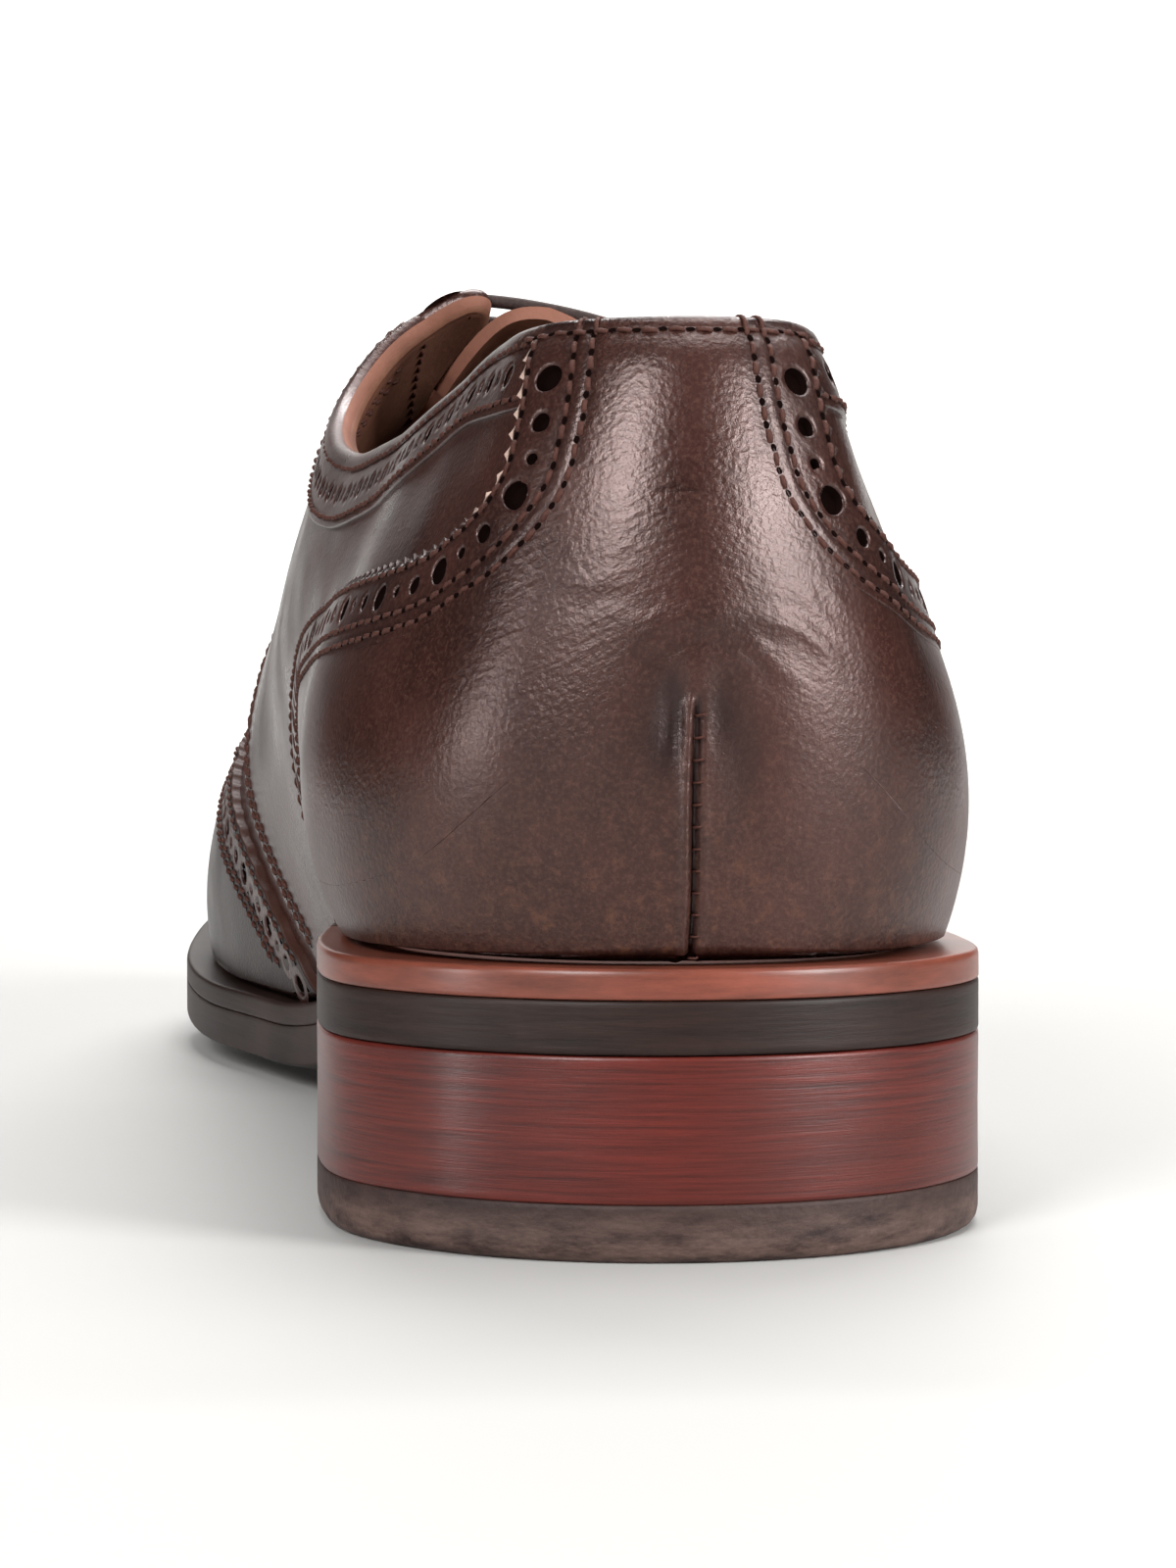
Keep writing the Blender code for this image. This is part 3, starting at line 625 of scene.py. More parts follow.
def calfLeather(name, look):
    # aniline calf, waxed and brushed: fine pores, cloudy brown, a broken gloss, fine wrinkles over the heel's hollow
    # and warmer rubbed patches low down
    made, tree, shader, place = newFinish(name, look["roughness"], 1.5, Specular_IOR_Level=look["sheen"],
                                           Specular_Tint=hexColour(look["gloss"]))
    cloud = addNode(tree, "TexNoise", {"Vector": place, "Scale": 1000 / look["cloud"], "Detail": 5.0,
                                       "Roughness": 0.62})
    speck = addNode(tree, "TexNoise", {"Vector": place, "Scale": 1000 / look["speck"], "Detail": 3.0,
                                       "Roughness": 0.7})
    pores = addNode(tree, "TexVoronoi", {"Vector": place, "Scale": 1000 / look["pore"], "Randomness": 1.0})
    tone = addNode(tree, "ValToRGB", {"Fac": cloud.outputs["Fac"]})
    tone.color_ramp.elements[0].position, tone.color_ramp.elements[1].position = 0.34, 0.68
    tone.color_ramp.elements[0].color = hexColour(look["dark"])
    tone.color_ramp.elements[1].color = hexColour(look["light"])
    fleck = addNode(tree, "MapRange", {"Value": speck.outputs["Fac"], "From Min": 0.46, "From Max": 0.76,
                                       "To Max": 0.5})
    flecked = addNode(tree, "Mix", {0: fleck.outputs[0], 6: tone.outputs["Color"], 7: hexColour(look["fleck"])},
                      data_type="RGBA")
    axes = addNode(tree, "SeparateXYZ", {"Vector": place}).outputs
    height = axes["Z"]
    low = addNode(tree, "MapRange", {"Value": height, "From Min": look["rubTop"] / 1000, "From Max": 0.030,
                                     "To Max": look["rub"]}, interpolation_type="SMOOTHSTEP")
    flakes = addNode(tree, "TexNoise", {"Vector": place, "Scale": 1000 / 1.9, "Detail": 6.0, "Roughness": 0.8})
    patch = addNode(tree, "MapRange", {"Value": flakes.outputs["Fac"], "From Min": 0.5, "From Max": 0.74})
    rub = addNode(tree, "Math", {0: low.outputs[0], 1: patch.outputs[0]}, operation="MULTIPLY")
    rubbed = addNode(tree, "Mix", {0: rub.outputs[0], 6: flecked.outputs[2], 7: hexColour(look["warm"])},
                     data_type="RGBA")
    # painted shade: the base colour is mixed towards near-black by the mesh's painted-shade attribute
    paintedShade = addNode(tree, "Attribute", attribute_name="paintedShade").outputs["Fac"]
    withPaintedShade = addNode(tree, "Mix", {0: paintedShade, 6: rubbed.outputs[2], 7: hexColour(look["paintedShade"])}, data_type="RGBA")
    # painted highlight: negative attribute values mix the colour towards pale
    pale = addNode(tree, "Math", {0: paintedShade, 1: -1.0}, operation="MULTIPLY", use_clamp=True)
    withPaintedHighlight = addNode(tree, "Mix", {0: pale.outputs[0], 6: withPaintedShade.outputs[2], 7: hexColour(look["pale"])},
                    data_type="RGBA")
    tree.links.new(withPaintedHighlight.outputs[2], shader.inputs["Base Color"])
    smear = addNode(tree, "TexNoise", {"Vector": place, "Scale": 1000 / 13, "Detail": 2.0, "Roughness": 0.4})
    gloss = addNode(tree, "MapRange", {"Value": smear.outputs["Fac"], "From Min": 0.3, "From Max": 0.7,
                                       "To Min": look["roughness"] - 0.04, "To Max": look["roughness"] + 0.06})
    dull = addNode(tree, "MapRange", {"Value": low.outputs[0], "To Max": look["dull"]})
    worn = addNode(tree, "Math", {0: gloss.outputs[0], 1: dull.outputs[0]}, operation="ADD")
    tree.links.new(worn.outputs[0], shader.inputs["Roughness"])
    apart = addNode(tree, "Math", {0: axes["X"]}, operation="ABSOLUTE")
    mirrored = addNode(tree, "CombineXYZ", {"X": apart.outputs[0], "Y": axes["Y"], "Z": axes["Z"]})
    slant = addNode(tree, "Mapping", {"Vector": mirrored.outputs[0], "Rotation": (0.0, look["slant"], 0.0),
                                      "Scale": (0.0042, 0.0042, 0.0007)}, vector_type="TEXTURE")
    wrinkle = addNode(tree, "TexNoise", {"Vector": slant.outputs[0], "Scale": 1.0, "Detail": 2.0, "Roughness": 0.5,
                                         "Distortion": 0.35})
    rise, fall = (addNode(tree, "MapRange", {"Value": height, "From Min": start, "From Max": end},
                          interpolation_type="SMOOTHSTEP").outputs[0] for start, end in look["strap"])
    where = addNode(tree, "Math", {0: rise, 1: fall}, operation="MULTIPLY")
    share = addNode(tree, "MapRange", {"Value": where.outputs[0], "To Min": 0.03, "To Max": look["wrinkle"]})
    creased = addNode(tree, "Bump", {"Height": wrinkle.outputs["Fac"], "Strength": share.outputs[0],
                                     "Distance": 0.0007})
    fine = addNode(tree, "Bump", {"Height": speck.outputs["Fac"], "Normal": creased.outputs[0],
                                  "Strength": look["grain"], "Distance": 0.00022})
    pored = addNode(tree, "Bump", {"Height": pores.outputs["Distance"], "Normal": fine.outputs[0],
                                   "Strength": look["grain"] * 0.6, "Distance": 0.0002})
    tree.links.new(pored.outputs[0], shader.inputs["Normal"])
    return made


def fleshLeather(name, look):
    # undyed lining leather, nap side out: pale, dull and a little cloudy
    made, tree, shader, place = newFinish(name, look["roughness"], 1.45, Specular_IOR_Level=look["sheen"])
    cloud = addNode(tree, "TexNoise", {"Vector": place, "Scale": 1000 / 9, "Detail": 6.0, "Roughness": 0.65})
    tone = addNode(tree, "Mix", {0: cloud.outputs["Fac"], 6: hexColour(look["dark"]), 7: hexColour(look["light"])},
                   data_type="RGBA")
    tree.links.new(tone.outputs[2], shader.inputs["Base Color"])
    nap = addNode(tree, "TexNoise", {"Vector": place, "Scale": 1000 / 0.7, "Detail": 4.0})
    bump = addNode(tree, "Bump", {"Height": nap.outputs["Fac"], "Strength": 0.35, "Distance": 0.0002})
    tree.links.new(bump.outputs[0], shader.inputs["Normal"])
    return made


def edgeLeather(name, look):
    # cut edge of sole leather, inked, burnished and waxed: level streaks, a slow sheen and a few dark lines
    made, tree, shader, place = newFinish(name, look["roughness"], 1.5, Coat_Weight=look["coat"], Coat_Roughness=0.25,
                                           Specular_IOR_Level=look["sheen"])
    flat = addNode(tree, "Mapping", {"Vector": place, "Scale": (60.0, 60.0, 1000 / look["streak"])})
    streaks = addNode(tree, "TexNoise", {"Vector": flat.outputs[0], "Scale": 1.0, "Detail": 6.0, "Roughness": 0.7})
    cloud = addNode(tree, "TexNoise", {"Vector": place, "Scale": 1000 / 14, "Detail": 4.0})
    tone = addNode(tree, "ValToRGB", {"Fac": streaks.outputs["Fac"]})
    tone.color_ramp.elements[0].position, tone.color_ramp.elements[1].position = 0.30, 0.70
    tone.color_ramp.elements[0].color = hexColour(look["dark"])
    tone.color_ramp.elements[1].color = hexColour(look["light"])
    patch = addNode(tree, "MapRange", {"Value": cloud.outputs["Fac"], "From Min": 0.45, "From Max": 0.75,
                                       "To Max": look["patch"]})
    worn = addNode(tree, "Mix", {0: patch.outputs[0], 6: tone.outputs["Color"], 7: hexColour(look["worn"])},
                   data_type="RGBA")
    tree.links.new(worn.outputs[2], shader.inputs["Base Color"])
    bump = addNode(tree, "Bump", {"Height": streaks.outputs["Fac"], "Strength": look["bump"], "Distance": 0.0003})
    tree.links.new(bump.outputs[0], shader.inputs["Normal"])
    return made


def heelRubber(name, look):
    # moulded rubber worn by walking: dull brown-black, greyed by scuffs towards the floor
    made, tree, shader, place = newFinish(name, 0.6, 1.5, Specular_IOR_Level=0.25)
    level = addNode(tree, "Mapping", {"Vector": place, "Scale": (1000 / 9, 1000 / 9, 1000 / 2.2)})
    cloud = addNode(tree, "TexNoise", {"Vector": level.outputs[0], "Scale": 1.0, "Detail": 9.0, "Roughness": 0.75})
    height = addNode(tree, "SeparateXYZ", {"Vector": place}).outputs["Z"]
    low = addNode(tree, "MapRange", {"Value": height, "From Min": 0.0052, "From Max": 0.0002, "To Min": 0.2})
    scuff = addNode(tree, "MapRange", {"Value": cloud.outputs["Fac"], "From Min": 0.36, "From Max": 0.7})
    share = addNode(tree, "Math", {0: low.outputs[0], 1: scuff.outputs[0]}, operation="MULTIPLY")
    tone = addNode(tree, "Mix", {0: share.outputs[0], 6: hexColour(look["dark"]), 7: hexColour(look["grey"])},
                   data_type="RGBA")
    tree.links.new(tone.outputs[2], shader.inputs["Base Color"])
    grit = addNode(tree, "TexNoise", {"Vector": place, "Scale": 1000 / 0.8, "Detail": 5.0})
    bump = addNode(tree, "Bump", {"Height": grit.outputs["Fac"], "Strength": 0.4, "Distance": 0.0003})
    tree.links.new(bump.outputs[0], shader.inputs["Normal"])
    return made


def spunThread(name, look):
    # waxed twisted thread: slanting plies catch the light in short streaks
    made, tree, shader, place = newFinish(name, 0.65, 1.45, Specular_IOR_Level=0.25)
    plies = addNode(tree, "TexNoise", {"Vector": place, "Scale": 1000 / look["ply"], "Detail": 3.0})
    tone = addNode(tree, "Mix", {0: plies.outputs["Fac"], 6: hexColour(look["dark"]), 7: hexColour(look["light"])},
                   data_type="RGBA")
    tree.links.new(tone.outputs[2], shader.inputs["Base Color"])
    bump = addNode(tree, "Bump", {"Height": plies.outputs["Fac"], "Strength": 0.6, "Distance": 0.0002})
    tree.links.new(bump.outputs[0], shader.inputs["Normal"])
    return made


# the near-black is the colour of the painted shade, the pale pink that of the painted highlight
calfLook = {
    "dark": "#1e0f0d", "light": "#341d19", "fleck": "#52382f", "warm": "#5c3d2b", "paintedShade": "#120807", "pale": "#c4a99b",
    "gloss": "#ffe7e3", "roughness": 0.29, "sheen": 0.44, "cloud": 16.0, "speck": 0.45, "pore": 0.7, "grain": 0.27,
    "rub": 0.0, "rubTop": 56.0, "dull": 0.16, "wrinkle": 0.09, "slant": 0.42,
    "strap": ((0.046, 0.060), (0.088, 0.070)),  # heights where the wrinkles grow and die out
}
calf = calfLeather("brown calf leather", calfLook)
heelCalf = calfLeather("brown calf leather rubbed low down", {**calfLook, "rub": 0.6})
# a less glossy copy of the calf for the toe cap, its darker colours painted shade
toeCalf = calfLeather("brown calf leather in painted shade", {
    **calfLook, "dark": "#0f0706", "light": "#1d0f0d", "fleck": "#2c1b17", "warm": "#2e1d16", "sheen": 0.12,
    "roughness": 0.32})
cutEdge = fleshLeather("cut leather edge", {"dark": "#2a1712", "light": "#452b24", "roughness": 0.5, "sheen": 0.25})
lining = fleshLeather("tan lining leather", {"dark": "#43251d", "light": "#75503d", "roughness": 0.7, "sheen": 0.2})
rawEdge = fleshLeather("raw leather edge", {"dark": "#573629", "light": "#85594a", "roughness": 0.75, "sheen": 0.25})
soleEdgeInk = edgeLeather("inked sole leather", {
    "dark": "#120907", "light": "#281914", "worn": "#3d2c27", "patch": 0.45, "streak": 1.1, "roughness": 0.48,
    "coat": 0.0, "sheen": 0.22, "bump": 0.25})
randTan = edgeLeather("tan rand leather", {
    "dark": "#48241a", "light": "#793f31", "worn": "#5c2f23", "patch": 0.5, "streak": 2.4, "roughness": 0.36,
    "coat": 0.06, "sheen": 0.35, "bump": 0.12})
stackRed = edgeLeather("stacked red-brown leather", {
    "dark": "#2b0d0a", "light": "#5c2019", "worn": "#451710", "patch": 0.6, "streak": 0.42, "roughness": 0.34,
    "coat": 0.04, "sheen": 0.3, "bump": 0.22})
liftRubber = heelRubber("heel rubber", {"dark": "#231513", "grey": "#715a52"})
sewing = spunThread("waxed sewing thread", {"dark": "#27120e", "light": "#4c2a20", "ply": 0.3})
laceCotton = spunThread("waxed lace cotton", {"dark": "#191110", "light": "#3a2b27", "ply": 0.5})
darkHole = fleshLeather("punched hole, leather in shade", {
    "dark": "#080404", "light": "#120a08", "roughness": 0.9, "sheen": 0.0})
print("finishes made")

# upper: face, lining, and the edge between them at collar, throat and welt
upper = {"columns": 540, "rows": 48, "wall": 1.9}
around = np.arange(upper["columns"]) / (upper["columns"] / 2) - 1
throatRibs = np.concatenate([np.arange(16.0, 21.0, 0.1), np.arange(16.9, 17.4, 0.03)]) / 36
around = np.unique(np.round(np.concatenate([around, throatRibs, -throatRibs]), 6))
climb = (np.linspace(0, 1, upper["rows"]) ** 0.9)[:, None] * topOf(around)[None]
face = skin(around[None], climb, 0.0)
inside = skin(around[None], climb, -upper["wall"])
rowsU, colsU = climb.shape
inner = rowsU * colsU  # first point of the lining
faceQuads = gridFaces(rowsU, colsU, True)
insideQuads = gridFaces(rowsU, colsU, True, inner)[:, ::-1]
ring = np.arange(colsU)
nextRing = (ring + 1) % colsU
openRib = np.abs(around) < shoe["throat"][1] - 1e-4
openPair = openRib | np.roll(openRib, -1)
topRow = (rowsU - 1) * colsU
topEdge = np.stack([ring, nextRing, inner + nextRing, inner + ring], -1) + topRow
footEdge = np.stack([ring + inner, nextRing + inner, nextRing, ring], -1)
makePiece("vampAndLining", np.concatenate([face.reshape(-1, 3), inside.reshape(-1, 3)]),
          [(faceQuads, 0), (insideQuads, 1), (topEdge[openPair], 1), (footEdge, 1)], [calf, lining], "upper")

# quarters: back seam to throat, their front edge gimped
quarter = {"low": 0.4, "high": 1.3, "rows": 200, "columns": 100, "tooth": 1.1, "toothRows": 5}


def collarHeight(base, skive):
    # leather thins towards the collar edge, where it is folded in
    def height(a, t):
        near = (topOf(a) - t) * np.linalg.norm(innerSlopes(a, t)[1], axis=-1)
        inCollar = 1 - ease(np.abs(a), shoe["throat"][0] - 0.012, shoe["throat"][0])
        return base - skive * bell(np.clip(near, 0, None), 0, 3.2) * inCollar
    return height


quarterHeight = collarHeight(quarter["high"], 0.3)
wingHeight = quarterHeight
counter = {"low": 1.3, "high": 2.7, "skive": 1.1, "rows": 445, "panel": 140, "tooth": 1.25, "toothRows": 6,
           "stitches": (1.9, 7.0, 8.8), "holeRow": 4.5, "holes": (1.38, 0.9, 0.55), "gaps": (4.8, 3.65, 4.05),
           "start": 8.6}
counterHeight = collarHeight(counter["high"], counter["skive"])
band = {"low": 1.0, "high": 1.72, "skive": 0.4, "holes": (1.15, 0.75), "gap": 3.3}
bandHeight = collarHeight(band["high"], band["skive"])

ribbons = {}
levels = np.linspace(91.6, 29.0, 900)
for side in (-1, 1):
    edgeA = shoe["counterCentre"] + side * throughRows(levels, counterRows)
    low = feather(edgeA)[2] + 0.6 * counter["high"] + 0.1
    height = np.where(levels < 46, low + (46 - low) * (levels - 29) / 17, levels)
    edgeT = np.minimum(climbToHeight(edgeA, height), topOf(edgeA))
    ribbons["counter", side] = edgeRibbon(edgeA, edgeT, 11.0, side)
    bandA = side * np.linspace(0.066 + side * shoe["counterCentre"], shoe["throat"][0] - 0.003, 1200)
    ribbons["band", side] = edgeRibbon(bandA, topOf(bandA) - 0.002, 11.0, side)
    climbW = np.linspace(0.012, 1.0, 900)
    ribbons["wing", side] = edgeRibbon(side * throughRows(climbW, wingRows), climbW, 12.0, side)
    climbQ = np.linspace(0.012, 0.97, 900)
    frontA = side * throughRows(climbQ, frontRows)
    ribbons["front", side] = edgeRibbon(frontA, climbQ * topOf(frontA), 12.0, -side)
    facingA = side * np.linspace(shoe["throat"][0] + 0.001, shoe["facingEnd"], 600)
    ribbons["facing", side] = edgeRibbon(facingA, climbTop(facingA, False), 14.0, side)
strapA = shoe["counterCentre"] + np.linspace(-0.079, 0.079, 400)
ribbons["strap", 0] = edgeRibbon(strapA, topOf(strapA) - 0.0005, 4.0, 1)
print("edges measured:", {k: round(float(r["length"]), 1) for k, r in ribbons.items()})

holeBatches = []


def borderHoles(ribbon, start, stop, row, height, puff=None):
    # holes of three sizes in turn along a border
    place = start + np.concatenate([[0], np.cumsum(np.tile(counter["gaps"], 20))])
    place = place[place < ribbon["length"] - stop]
    size = np.tile(counter["holes"], 25)[:len(place)]
    points, holes = punchHoles(ribbon, place, row, size, height, puff)
    holeBatches.append(points)
    return holes


def gimp(rows, each):
    # saw teeth of a cut edge, one for so many rows
    return np.abs(np.arange(rows) % each / (each / 2) - 1)[:, None]


eyelets = {"rows": 5, "inset": 5.2, "radius": 1.9}
eyeletHoles = {}
for side in (-1, 1):
    facing = ribbons["facing", side]
    eyeletS = np.linspace(4.0, facing["length"] - 11.0, eyelets["rows"])
    points, eyeletHoles[side] = punchHoles(facing, eyeletS, eyelets["inset"], eyelets["radius"], quarterHeight)
    holeBatches.append(points)

climbRows = np.linspace(0, 1, quarter["rows"])[:, None]
window = np.hanning(161)
calmTable = np.convolve(np.pad(topTable, 80, mode="edge"), window / window.sum(), "valid")
tooth = gimp(quarter["rows"], quarter["toothRows"])
spread = np.concatenate([1 - np.linspace(1, 0, quarter["columns"] - 2) ** 1.3 * 0.996 - 0.004, [0.9975, 1.0]])
spread = np.concatenate([spread, np.linspace(0.79, 0.87, 40)])  # finer round the facing's end
spread = np.unique(np.clip(spread, 0, 1))[None]
for side, name, node in ((1, "quarterLateral", "quarter_lateral"), (-1, "quarterMedial", "quarter_medial")):
    front = throughRows(climbRows, frontRows)
    speed = np.linalg.norm(innerSlopes(side * front, climbRows)[0], axis=-1)
    bite = quarter["tooth"] * (1 - tooth) / speed
    front = front - bite * ease(climbRows, 0.0, 0.03) * (1 - ease(climbRows, 0.93, 0.97))
    qa = side * (0.002 + (front - 0.002) * spread)
    calm = np.interp(qa, aTable, calmTable)  # rows bend round the facing's end only near the top
    qt = climbRows * (calm + (topOf(qa) - calm) * climbRows ** 6 - 0.001)
    qt = np.maximum(np.minimum(qt, topOf(qa) - 0.001), footOf(qa, quarter["high"]))
    leatherSheet(name, qa, qt, quarter["low"] - 0.6, quarterHeight(qa, qt), [calf, cutEdge], node, eyeletHoles[side])
    for w in (1.7, 3.6):
        stitchRow(ribbons["front", side], w, quarterHeight, ends=(0.03, 0.985))
    for w in (1.9, 10.2):
        stitchRow(ribbons["facing", side], w, quarterHeight)

# counter: one piece round the heel, with a gimped border of stitches and punched holes
borderW = np.array([0, 0.25, 0.6, 1.1, 1.55, 2.0, 2.6, 3.2, 3.8, 4.5, 5.2, 5.8, 6.4, 7.0, 7.4, 7.9, 8.4, 8.8, 9.3,
                    10.0])


def borderPuff(w):
    # leather drawn down along the stitch rows and standing up between them
    rows = sum(bell(w, row, 0.42) for row in counter["stitches"])
    return 0.09 * bell(w, 7.9, 0.7) + 0.08 * bell(w, 4.3, 1.9) - 0.12 * rows - 0.5 * (1 - ease(w, 0.0, 1.5))


rowShare = np.linspace(0, 1, counter["rows"])[:, None]
tooth = gimp(counter["rows"], counter["toothRows"])
sides, counterHoles = [], []
for side in (-1, 1):
    ribbon = ribbons["counter", side]
    w = borderW + counter["tooth"] * (1 - tooth) * (1 - ease(borderW, 0.2, 1.6))
    sides.append(onRibbon(ribbon, rowShare * ribbon["length"], w))
    counterHoles.append(borderHoles(ribbon, counter["start"], 3, counter["holeRow"], counterHeight, borderPuff))
    for w in counter["stitches"]:
        stitchRow(ribbon, w, counterHeight, puff=borderPuff)
    for w in counter["stitches"][1:]:
        loopA = float(onRibbon(ribbon, 0.0, w)[0])
        edgeLoop(loopA, ((1.5, -2.4), (1.75, -1.9), (1.85, -1.2), (1.85, -0.5), (1.6, 0.05)))
        edgeLoop(loopA, ((1.6, -0.05), (1.3, 0.28), (0.8, 0.54), (0.2, 0.56), (-0.5, 0.3)))
stitchRow(ribbons["strap", 0], 1.5, counterHeight)
dart = creases["dart"]
seamZ = np.arange(30.2, dart["top"] - 1.2, dart["pitch"])
seamX, seamA = dartLine(seamZ), np.zeros_like(seamZ)
for _ in range(4):
    seamT = climbToHeight(seamA, seamZ)
    pace = skinSlopes(seamA, seamT)[0][:, 0]
    seamA = seamA + (seamX - lastPoint(seamA, seamT)[:, 0]) / pace
reachX = np.array([-0.1, 0.1, 0.3, 0.5, 0.72])
crossA = seamA[:, None] + reachX / pace[:, None]
crossT = climbToHeight(crossA, seamZ[:, None] + 0.25 * reachX)
lift = counter["high"] + np.array([-0.6, -0.3, -0.1, 0.05, -0.1])
crossN = skinNormal(crossA, crossT)
layThread(lastPoint(crossA, crossT) + crossN * lift[:, None], unit(skinSlopes(crossA, crossT)[1]), 0.14)
u = np.linspace(-1, 1, counter["panel"] + 2)[1:-1]
mixU = (1 + np.sign(u) * (0.14 * np.abs(u) + 0.86 * np.abs(u) ** 2.2)) / 2
(leftA, leftT), (rightA, rightT) = sides
ca = np.concatenate([leftA, leftA[:, -1:] + (rightA[:, -1:] - leftA[:, -1:]) * mixU, rightA[:, ::-1]], 1)
ct = np.concatenate([leftT, leftT[:, -1:] + (rightT[:, -1:] - leftT[:, -1:]) * mixU, rightT[:, ::-1]], 1)
ct = ct + (topOf(ca[:1]) - 0.0005 - ct[:1]) * (1 - ease(rowShare, 0, 0.06))
ct = ct + (footOf(ca[-1:], counter["high"]) - ct[-1:]) * ease(rowShare, 0.92, 1)
puffW = np.concatenate([borderW, np.full(len(u), 20.0), borderW[::-1]])
onLeft = np.arange(len(puffW)) < len(borderW)
# painted light on the counter: shade along the stitch rows, under the collar rim and on the lower teeth, highlight on
# the left teeth near the collar
paintedStitchShade = 0.7 * sum(bell(puffW, row, 0.55) for row in counter["stitches"])
paintedRimShade = 0.6 * (1 - ease(rowShare, 0.0, 0.014))
paintedToothHighlight = 1.6 * (1 - ease(puffW, 1.0, 1.5)) * onLeft * (1 - ease(rowShare, 0.10, 0.15))  # painted highlight on the teeth near the collar, left side only
paintedToothShade = 0.6 * (1 - ease(puffW, 1.0, 1.6)) * ease(rowShare, 0.12, 0.2)
leatherSheet("counterLeather", ca, ct, counter["low"] - 0.8, counterHeight(ca, ct) + borderPuff(puffW),
             [heelCalf, cutEdge], "counter", [np.concatenate(v) for v in zip(*counterHoles)],
             paintedLight=np.clip(paintedStitchShade + paintedRimShade - paintedToothHighlight + paintedToothShade, -0.9, 0.9))

# collar bands: along each quarter's collar edge, under the counter, with small punched holes
bandW = np.array([0, 0.3, 0.8, 1.6, 2.4, 3.2, 3.8, 4.4, 5.0, 5.6, 6.2, 6.8, 7.4, 8.0, 8.5, 8.8])
bandNames = ((1, "collarBandLateral", "collar_band_lateral"), (-1, "collarBandMedial", "collar_band_medial"))


def liningHeight(a, t):
    return np.full(np.shape(a), -upper["wall"])


for side, name, node in bandNames:
    ribbon = ribbons["band", side]
    s = np.linspace(0, ribbon["length"], int(ribbon["length"] / 0.5))
    ba, bt = onRibbon(ribbon, s[:, None], bandW[None])
    place = np.arange(5.5, ribbon["length"] - 3, band["gap"])
    size = np.tile(band["holes"], 60)[:len(place)]
    points, holes = punchHoles(ribbon, place, 4.7, size, bandHeight)
    holeBatches.append(points)
    leatherSheet(name, ba, bt, band["low"] - 0.8, bandHeight(ba, bt), [calf, calf], node, holes)
    for w in (1.5, 7.7):
        stitchRow(ribbon, w, bandHeight)
    for w in (4.4, 7.7):
        stitchRow(ribbon, w, liningHeight, face=-1)
    stitchRow(ribbons["facing", side], 10.2, liningHeight, face=-1)

# wing cap: from the toe back to a peaked, gimped edge
wing = {"low": 0.4, "high": 1.3, "rows": 190, "half": 60, "tooth": 1.1, "toothRows": 5, "holeRow": 4.6}
climbRows = np.linspace(0, 1, wing["rows"])[:, None]
tooth = gimp(wing["rows"], wing["toothRows"])
reach = throughRows(climbRows, wingRows)
speed = np.linalg.norm(innerSlopes(reach, climbRows)[0], axis=-1)
reach = reach + wing["tooth"] * (1 - tooth) / speed * (1 - ease(climbRows, 0.975, 0.99))
spread = np.concatenate([[0, 0.3 / 150, 0.8 / 150], np.linspace(1.6 / 150, 1, wing["half"])])[None]
halfA = reach + (1 - reach) * spread
wa = np.concatenate([halfA, -halfA[:, ::-1][:, 1:]], 1)
wt = np.maximum(climbRows + 0 * wa, footOf(wa, wing["high"]))
wingHoles = []
for side in (-1, 1):
    ribbon = ribbons["wing", side]
    wingHoles.append(borderHoles(ribbon, 3.0, 5.5, wing["holeRow"], wingHeight))
    for w in (1.55, 7.6, 9.4):
        stitchRow(ribbon, w, wingHeight, ends=(0.02, 0.992))
leatherSheet("wingCap", wa, wt, wing["low"] - 0.6, wingHeight(wa, wt), [toeCalf, cutEdge], "toe_cap",
             [np.concatenate(v) for v in zip(*wingHoles)])
holePiece("punchedHoles", holeBatches, [calf, darkHole])

# collar edge: the folded leather carried along the topline, its lining showing on the inner side
collar = {
    "columns": 760, "outer": 6, "raw": 3,
    "profile": ((1.55, -2.2), (1.72, -1.2), (1.62, -0.3), (1.3, 0.25), (0.75, 0.55), (0.1, 0.62), (-0.5, 0.45),
                (-1.1, 0.1), (-1.6, -0.5), (-1.95, -1.6), (-2.0, -3.0)),
    "facing": ((1.2, -1.3), (1.36, -0.8), (1.34, -0.3), (1.1, 0.12), (0.7, 0.34), (0.1, 0.4), (-0.5, 0.3),
               (-1.1, 0.05), (-1.6, -0.35), (-1.95, -1.0), (-2.0, -1.8)),
}
rimA = np.linspace(-shoe["facingEnd"], shoe["facingEnd"], 6000)
run = pathLength(lastPoint(rimA, topOf(rimA)))
rimA = np.interp(np.linspace(0, run[-1], collar["columns"]), run, rimA)
rimT = topOf(rimA)
up = np.cross(np.gradient(lastPoint(rimA, rimT), axis=0), skinNormal(rimA, rimT))
up = unit(up * np.sign(np.sum(up * innerSlopes(rimA, rimT)[1], -1, keepdims=True)))
blend = ease(np.abs(rimA), shoe["throat"][0] - 0.012, shoe["throat"][0] + 0.004)[:, None]
rim = []
for collarStep, facingStep in zip(collar["profile"], collar["facing"]):
    offset, rise = ((1 - blend) * collarStep + blend * facingStep).T
    rim.append(skin(rimA, rimT, offset) + up * rise[:, None])
rim = np.stack(rim)
quads = gridFaces(len(rim), len(rimA))
split = (collar["outer"] - 1) * (len(rimA) - 1)
cut = split + collar["raw"] * (len(rimA) - 1)
makePiece("collarEdge", rim, [(quads[:split], 0), (quads[split:cut], 1), (quads[cut:], 2)], [calf, rawEdge, lining],
          None)

